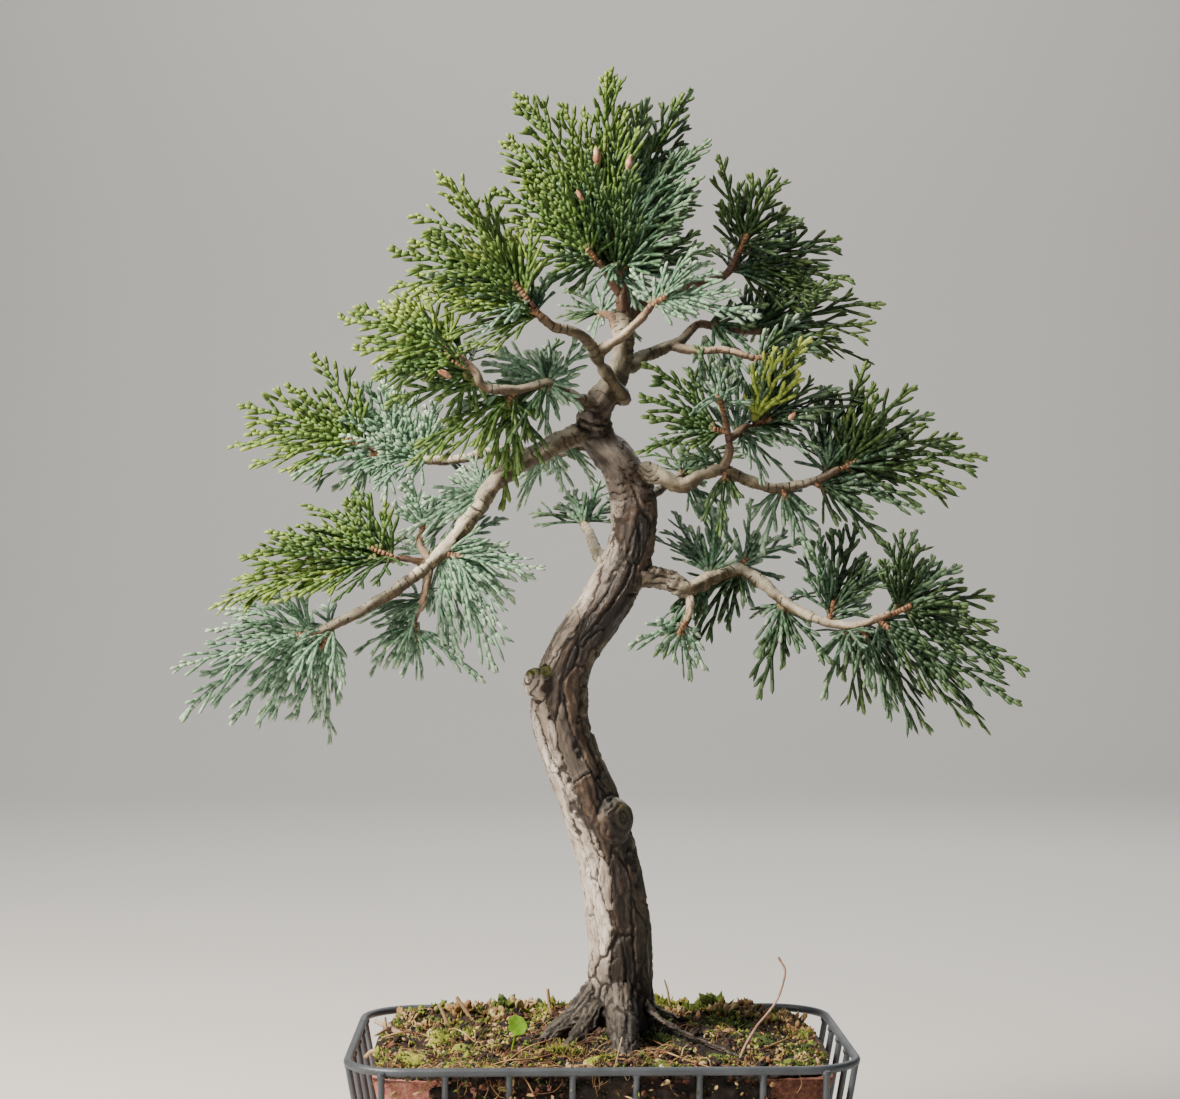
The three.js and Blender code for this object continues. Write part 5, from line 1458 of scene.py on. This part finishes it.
rng = np.random.default_rng(77)
spots, onWall = randomSpots(rng, strewn["crumbs"])
sizes = rng.gamma(2.2, 0.27, len(spots))[:, None] * rng.uniform(0.5, 1.5, (len(spots), 3)) + 0.2
sizes[onWall] *= 0.65
spots = spots + rng.normal(0, 0.55, spots.shape)
points, faces = copies(crumb, spots * mm, randomAxes(rng, sizes) * mm)
crumbs = meshPiece("soil_crumbs", points, faces)
setValues(crumbs, "tint", np.repeat(litterTints(rng, spots), len(crumb[0])))

# moss shoots stand on the cushions, and thinly elsewhere
bases, lengths, mossTints, leans = [], [], [], []
for cx, cy, radius, tall, colour in cushions:
    count = round(14 * radius ** 1.25)
    spread = rng.normal(0, 0.5, (count, 2)) * radius
    x, y = cx + spread[:, 0], cy + spread[:, 1]
    inside = (np.abs(x) < 88) & (np.abs(y) < 63)
    x, y = x[inside], y[inside]
    bases.append(np.column_stack([x, y, soilTop(x, y) + 0.6]))
    lengths.append(tall * rng.uniform(0.4, 1.1, len(x)))
    mossTints.append(colour + rng.normal(0, 0.045, len(x)))
    leans.append(np.column_stack([spread[inside] / radius, np.ones(len(x)) * 1.1]))
extra, wallSpots = randomSpots(rng, strewn["thinMoss"])
bases.append(extra)
lengths.append(rng.uniform(0.7, 2.0, len(extra)))
mossTints.append(rng.uniform(0.78, 0.98, len(extra)))
leans.append(np.where(wallSpots[:, None], (0, -1, -0.2), (0, 0, 1)) + 0.0)
bases, lengths, mossTints = np.vstack(bases), np.concatenate(lengths), np.concatenate(mossTints)
ahead = unit(np.vstack(leans) + rng.normal(0, 0.5, bases.shape))
moss = standing("moss_shoots", blade, rng, bases, ahead, lengths, 0.3 + 0.09 * lengths, 0.7)
# the shoots are darker towards their feet
mossTints = mossTints[:, None] + 0.2 * (1 - blade[0][:, 2])
setValues(moss, "tint", np.clip(mossTints.ravel(), 0.78, 1))

# flat leaflets in tufts, tallest along the back edge
allTufts = list(tufts)
loose, onWall = randomSpots(rng, strewn["looseTufts"])
for (x, y, z), wall in zip(loose, onWall):
    if wall:
        continue
    back = smoothstep(10, 60, y)
    allTufts.append((x, y, rng.uniform(1.6, 3.2) + 2.8 * back, rng.integers(6, 16), rng.uniform(1.5, 4),
                     rng.choice([0.5, 0.58, 0.62, 0.68, 0.84, 0.88, 0.92, 0.96])))
bases, reaches, leafTints, ways = [], [], [], []
for x, y, tall, count, wide, colour in allTufts:
    spread = rng.normal(0, 0.42, (count, 2))
    bx, by = np.clip(x + spread[:, 0] * wide, -88, 88), np.clip(y + spread[:, 1] * wide, -64, 62)
    bases.append(np.column_stack([bx, by, soilTop(bx, by) - 0.2]))
    reaches.append(tall * rng.uniform(0.4, 1.05, count))
    leafTints.append(colour + rng.normal(0, 0.035, count))
    ways.append(np.column_stack([spread, np.full(count, 0.9)]) + rng.normal(0, 0.4, (count, 3)))
# and some hang down the front wall
count = strewn["hanging"]
hanging = rng.uniform(soil["spillLeft"], soil["spillRight"], count)
bases.append(np.column_stack([hanging, np.full(count, -67), rng.uniform(62, 77, count)]))
reaches.append(rng.uniform(1.5, 4.5, count))
leafTints.append(rng.choice([0.3, 0.45, 0.6, 0.66, 0.93, 0.97], count))
ways.append(rng.normal(0, 0.6, (count, 3)) + (0, -0.8, 0))
bases, reaches = np.vstack(bases), np.concatenate(reaches)
leaflets = standing("moss_leaflets", templates[1], rng, bases, unit(np.vstack(ways)), reaches,
                    0.35 + 0.17 * reaches, 0.28)
setValues(leaflets, "tint", np.repeat(np.clip(np.concatenate(leafTints), 0.2, 1), len(templates[1][0])))


def rootletPath(rng, start, heading, length, radius, lift):
    # a fibre that wanders over the soil
    path, x, y = [], start[0], start[1]
    wander = rng.normal(0, 0.25)
    high = rng.uniform(0.2, 1.0)
    steps = max(5, round(length / 2))
    for i in range(steps + 1):
        t = i / steps
        heading += wander + rng.normal(0, 0.22)
        x += 2 * math.cos(heading)
        y += 2 * math.sin(heading)
        over = high + lift * math.sin(math.pi * t)
        if y < -64:
            z = soilTop(x, -64.0) - (-64 - y)
            path.append((x, -68.2 + 0.25 * (-64 - y), max(z, 60), radius))
        else:
            path.append((x, y, float(soilTop(x, y)) + over, radius * (1 - 0.5 * t)))
        if abs(x) > 88 or y > 62 or y < -80:
            break
    return path


fibres = []
for _ in range(strewn["fibres"]):
    x, y = rng.uniform(-84, 84), rng.uniform(-64, 60)
    if rng.random() < 0.65:
        x, y = rng.uniform(-84, 30), rng.uniform(-64, -18)
    path = rootletPath(rng, (x, y), rng.uniform(0, 2 * math.pi), rng.uniform(5, 14),
                       rng.uniform(0.1, 0.24), rng.uniform(0.3, 2.6))
    if len(path) > 2:
        fibres.append(path)
# the longer rootlets that show near the front
shown = [
    [(21, -45, 84, 0.45), (27, -52, 83, 0.45), (34, -56, 81, 0.4), (41, -62, 80, 0.3)],
    [(30, -54, 82.4, 0.3), (31, -50, 85, 0.35), (33, -48, 86, 0.3)],
    [(24, -62, 80, 0.3), (27, -57, 82, 0.35), (30, -54, 83, 0.35)],
    [(47, -58, 80, 0.3), (50, -57, 82.5, 0.35), (53, -59, 81.5, 0.3), (57, -60, 80, 0.25)],
    [(-41, -62, 79, 0.4), (-34, -52, 83, 0.45), (-28, -44, 85, 0.45), (-21, -38, 86, 0.4)],
    [(-32, -64, 79, 0.5), (-29, -67.5, 76, 0.55), (-26, -68.6, 70, 0.5), (-24, -68.4, 64, 0.45)],
    [(-43, -55, 80, 0.35), (-36, -56, 82, 0.4), (-27, -53, 82, 0.4), (-18, -52, 84, 0.3)],
    [(-66, 10, 80, 0.5), (-58, -2, 84, 0.4), (-50, -14, 81, 0.4)],
    [(-88, 2, 80, 0.5), (-80, 2, 82, 0.5), (-72, -2, 82, 0.45), (-64, -8, 80, 0.4)],
    [(62, -34, 81, 0.45), (70, -28, 83, 0.45), (76, -22, 84, 0.4), (79, -20, 86, 0.35)],
    [(4, -62, 80, 0.35), (5.5, -59, 85, 0.35), (7, -58, 91, 0.3)],
]
fibres += [smoothPath([(*point[:3], point[3] * 0.8) for point in path], 5) for path in shown]
rootlets = tubes("rootlets", fibres, roundness=0)
speckle = pointsOf(rootlets) / mm
setValues(rootlets, "tint", np.clip(0.57 + 0.2 * softNoise(speckle / 7, 51), 0.36, 0.74))

# dead stubs and grass stems that stand up out of the soil
stubs = [
    [(-19, 38, 82, 0.8), (-20, 38, 88, 0.75), (-20.5, 37.5, 93.5, 0.6)],
    [(-62, 30, 79, 0.9), (-64, 30, 84, 0.8), (-66, 30, 88, 0.7)],
    [(-52, 36, 80, 0.9), (-56, 36, 86, 0.8), (-59, 36, 90.5, 0.7)],
    [(-86, 12, 78, 0.7), (-87, 12, 82, 0.6), (-87.5, 12, 86.5, 0.5)],
    [(32, 50, 82, 0.5), (31, 50, 90, 0.45), (29.5, 50, 95, 0.3)],
    [(-93, -22, 77, 0.8), (-90, -26, 80, 0.8), (-86, -27, 79, 0.7)],
]
stubPiece = tubes("grass_stubs", [smoothPath(path, 4) for path in stubs], roundness=2)
setValues(stubPiece, "tint", np.full(len(stubPiece.data.vertices), 0.66))

ground = Finish("soil_and_moss", 0.92)
place = ground.place()
tint = ground.attribute("tint")
speck = ground.noise(place, 1300, 4, 0.65)
patch = ground.noise(place, 240, 3, 0.6)
earth = ground.ramp(tint + (speck - 0.5) * 0.16 + (patch - 0.5) * 0.06, (0.0, "0d0806"),
                    (0.2, "21140e"), (0.38, "43281a"), (0.5, "6d452d"), (0.62, "a7865b"),
                    (0.74, "d2bf95"), (0.79, "a79f38"), (0.89, "72822a"), (1.0, "263c10"))
ground.feed("Base Color", earth)
ground.feed("Roughness", 0.7 + speck * 0.3)
ground.bump(speck * 0.6 + patch * 0.4, 0.7, 0.9)
soilPieces = (mound, crumbs, moss, leaflets, rootlets, stubPiece)
for piece in soilPieces:
    settle(piece, ground.material, "soil", "soil")
print("soil, faces", [len(piece.data.polygons) for piece in soilPieces])


# ---- seedling, curled stem and dry twig

stalk = tubes("stalk", [smoothPath([(-36, -25, 72, 0.6), (-35, -26, 80, 0.55), (-34, -28, 85, 0.5),
                                    (-33.3, -30, 89, 0.45)], 6)], roundness=2)
bpy.ops.mesh.primitive_uv_sphere_add(segments=40, ring_count=20, radius=1)
leaf = bpy.context.active_object
spot = pointsOf(leaf)
around, out = np.arctan2(spot[:, 1], spot[:, 0]), np.hypot(spot[:, 0], spot[:, 1])
scallop = 1 + 0.035 * np.cos(7 * around) * out
notch = 1 - 0.16 * np.exp(-(np.abs(np.abs(around) - np.pi) / 0.3) ** 2)
spot[:, 2] = spot[:, 2] * 0.07 + 0.16 * out ** 2 + 0.03 * np.cos(3.5 * around) ** 2 * out
spot[:, :2] *= (scallop * notch)[:, None]
movePoints(leaf, spot * 4.1 * mm)
leaf.rotation_euler = (math.radians(62), math.radians(8), math.radians(20))
leaf.location = (-33.3 * mm, -30.7 * mm, 90.4 * mm)
focus(leaf)
bpy.ops.object.transform_apply(location=True, rotation=True)
leaf.data.shade_smooth()
seedling = joinInto("seedling_leaf", [stalk, leaf])

leafGreen = Finish("seedling_green", 0.42)
place = leafGreen.place()
vein = leafGreen.noise(place, 700, 3, 0.5, 1.2)
cloud = leafGreen.noise(place, 150, 2)
leafGreen.feed("Base Color", leafGreen.ramp(cloud + (vein - 0.5) * 0.4, (0.25, "4f7d16"),
                                            (0.55, "7aa825"), (0.8, "a6c84c")))
leafGreen.feed("Roughness", 0.34 + vein * 0.2)
leafGreen.bump(vein, 0.3, 0.6)
settle(seedling, leafGreen.material, "seedling", "round_leaf")

curl = tubes("curled_stem_dry", [smoothPath([
    (52, -44, 70, 0.65), (54, -43, 81, 0.6), (60, -40, 91, 0.5), (68, -39, 101, 0.45),
    (71.5, -39, 112, 0.45), (69, -38, 118, 0.5)], 10)], roundness=4)
twig = tubes("dry_twig_grey", [smoothPath([
    (-92, 20, 83.3, 0.9), (-86, 15, 81.7, 1.1), (-80, 10, 79.5, 1.1), (-72, 4, 78.95, 0.8)], 8),
    smoothPath([(-86, 15, 81.7, 0.7), (-88, 8, 81.5, 0.6), (-91, 3, 80.6, 0.5)], 6)], roundness=4)
dry = Finish("dry_stem", 0.75)
place = dry.place()
fibre = dry.noise(dry.place((1, 1, 0.25)), 1100, 4, 0.6)
tone = dry.noise(place, 90, 3)
dry.feed("Base Color", dry.ramp(tone + (fibre - 0.5) * 0.5, (0.25, "63483a"), (0.5, "957764"),
                                (0.75, "c4ac98")))
dry.feed("Roughness", 0.6 + fibre * 0.3)
dry.bump(fibre, 0.3, 0.8)
for piece, node in ((curl, "curled_stem"), (twig, "dry_twig")):
    knobs = pointsOf(piece)
    movePoints(piece, knobs + normalsOf(piece) * (0.14 * mm * softNoise(knobs / mm / 1.1, 61))[:, None])
    settle(piece, dry.material, "dry_stem", node)


# ---- floor, backdrop, light and camera

def plainFinish(name, colour):
    plain = Finish(name, 0.85)
    plain.shader.inputs["Base Color"].default_value = hexColour(colour)
    return plain.material


bpy.ops.mesh.primitive_plane_add(size=6, location=(0, 0, -0.0002))
floor = bpy.context.active_object
floor.name = "floor"
editSelection(floor, edgeTest=lambda a, b: min(a.y, b.y) > 2.9, mode="EDGE")
bpy.ops.mesh.extrude_region_move(TRANSFORM_OT_translate={"value": (0, 0, 3.5)})
endEdit()
applyModifier(floor, "BEVEL", width=0.9, segments=10)
floor.data.shade_smooth()
floor.data.materials.append(plainFinish("pale_ground", "d9d7d3"))


def areaLight(name, place, aim, size, power, colour):
    bpy.ops.object.light_add(type="AREA", location=place)
    light = bpy.context.active_object
    light.name = name
    light.data.size = size
    light.data.energy = power
    light.data.color = hexColour(colour)[:3]
    light.rotation_euler = (Vector(aim) - Vector(place)).to_track_quat("-Z", "Y").to_euler()


areaLight("window", (-0.8, -0.42, 0.95), (0, 0, 0.28), 0.36, 46, "fff4e4")
areaLight("fill", (1.4, -1.2, 0.6), (0, 0, 0.25), 1.4, 2.6, "eaf1ff")
areaLight("rear", (0.6, 1.4, 1.3), (0, 0, 0.3), 0.8, 7, "ffffff")
areaLight("backdrop", (0, 1.3, 2.4), (0, 2.9, 0.6), 1.6, 34, "ffffff")

world = bpy.data.worlds.new("room")
bpy.context.scene.world = world
world.use_nodes = True
world.node_tree.nodes["Background"].inputs[0].default_value = (0.8, 0.84, 0.9, 1)
world.node_tree.nodes["Background"].inputs[1].default_value = 0.12

bpy.ops.object.camera_add(location=(view["x"] * mm, view["y"] * mm, view["z"] * mm),
                          rotation=(math.radians(90 + view["tipped"]), 0, -math.radians(view["turned"])))
camera = bpy.context.active_object
camera.data.lens = view["lens"]
bpy.context.scene.camera = camera
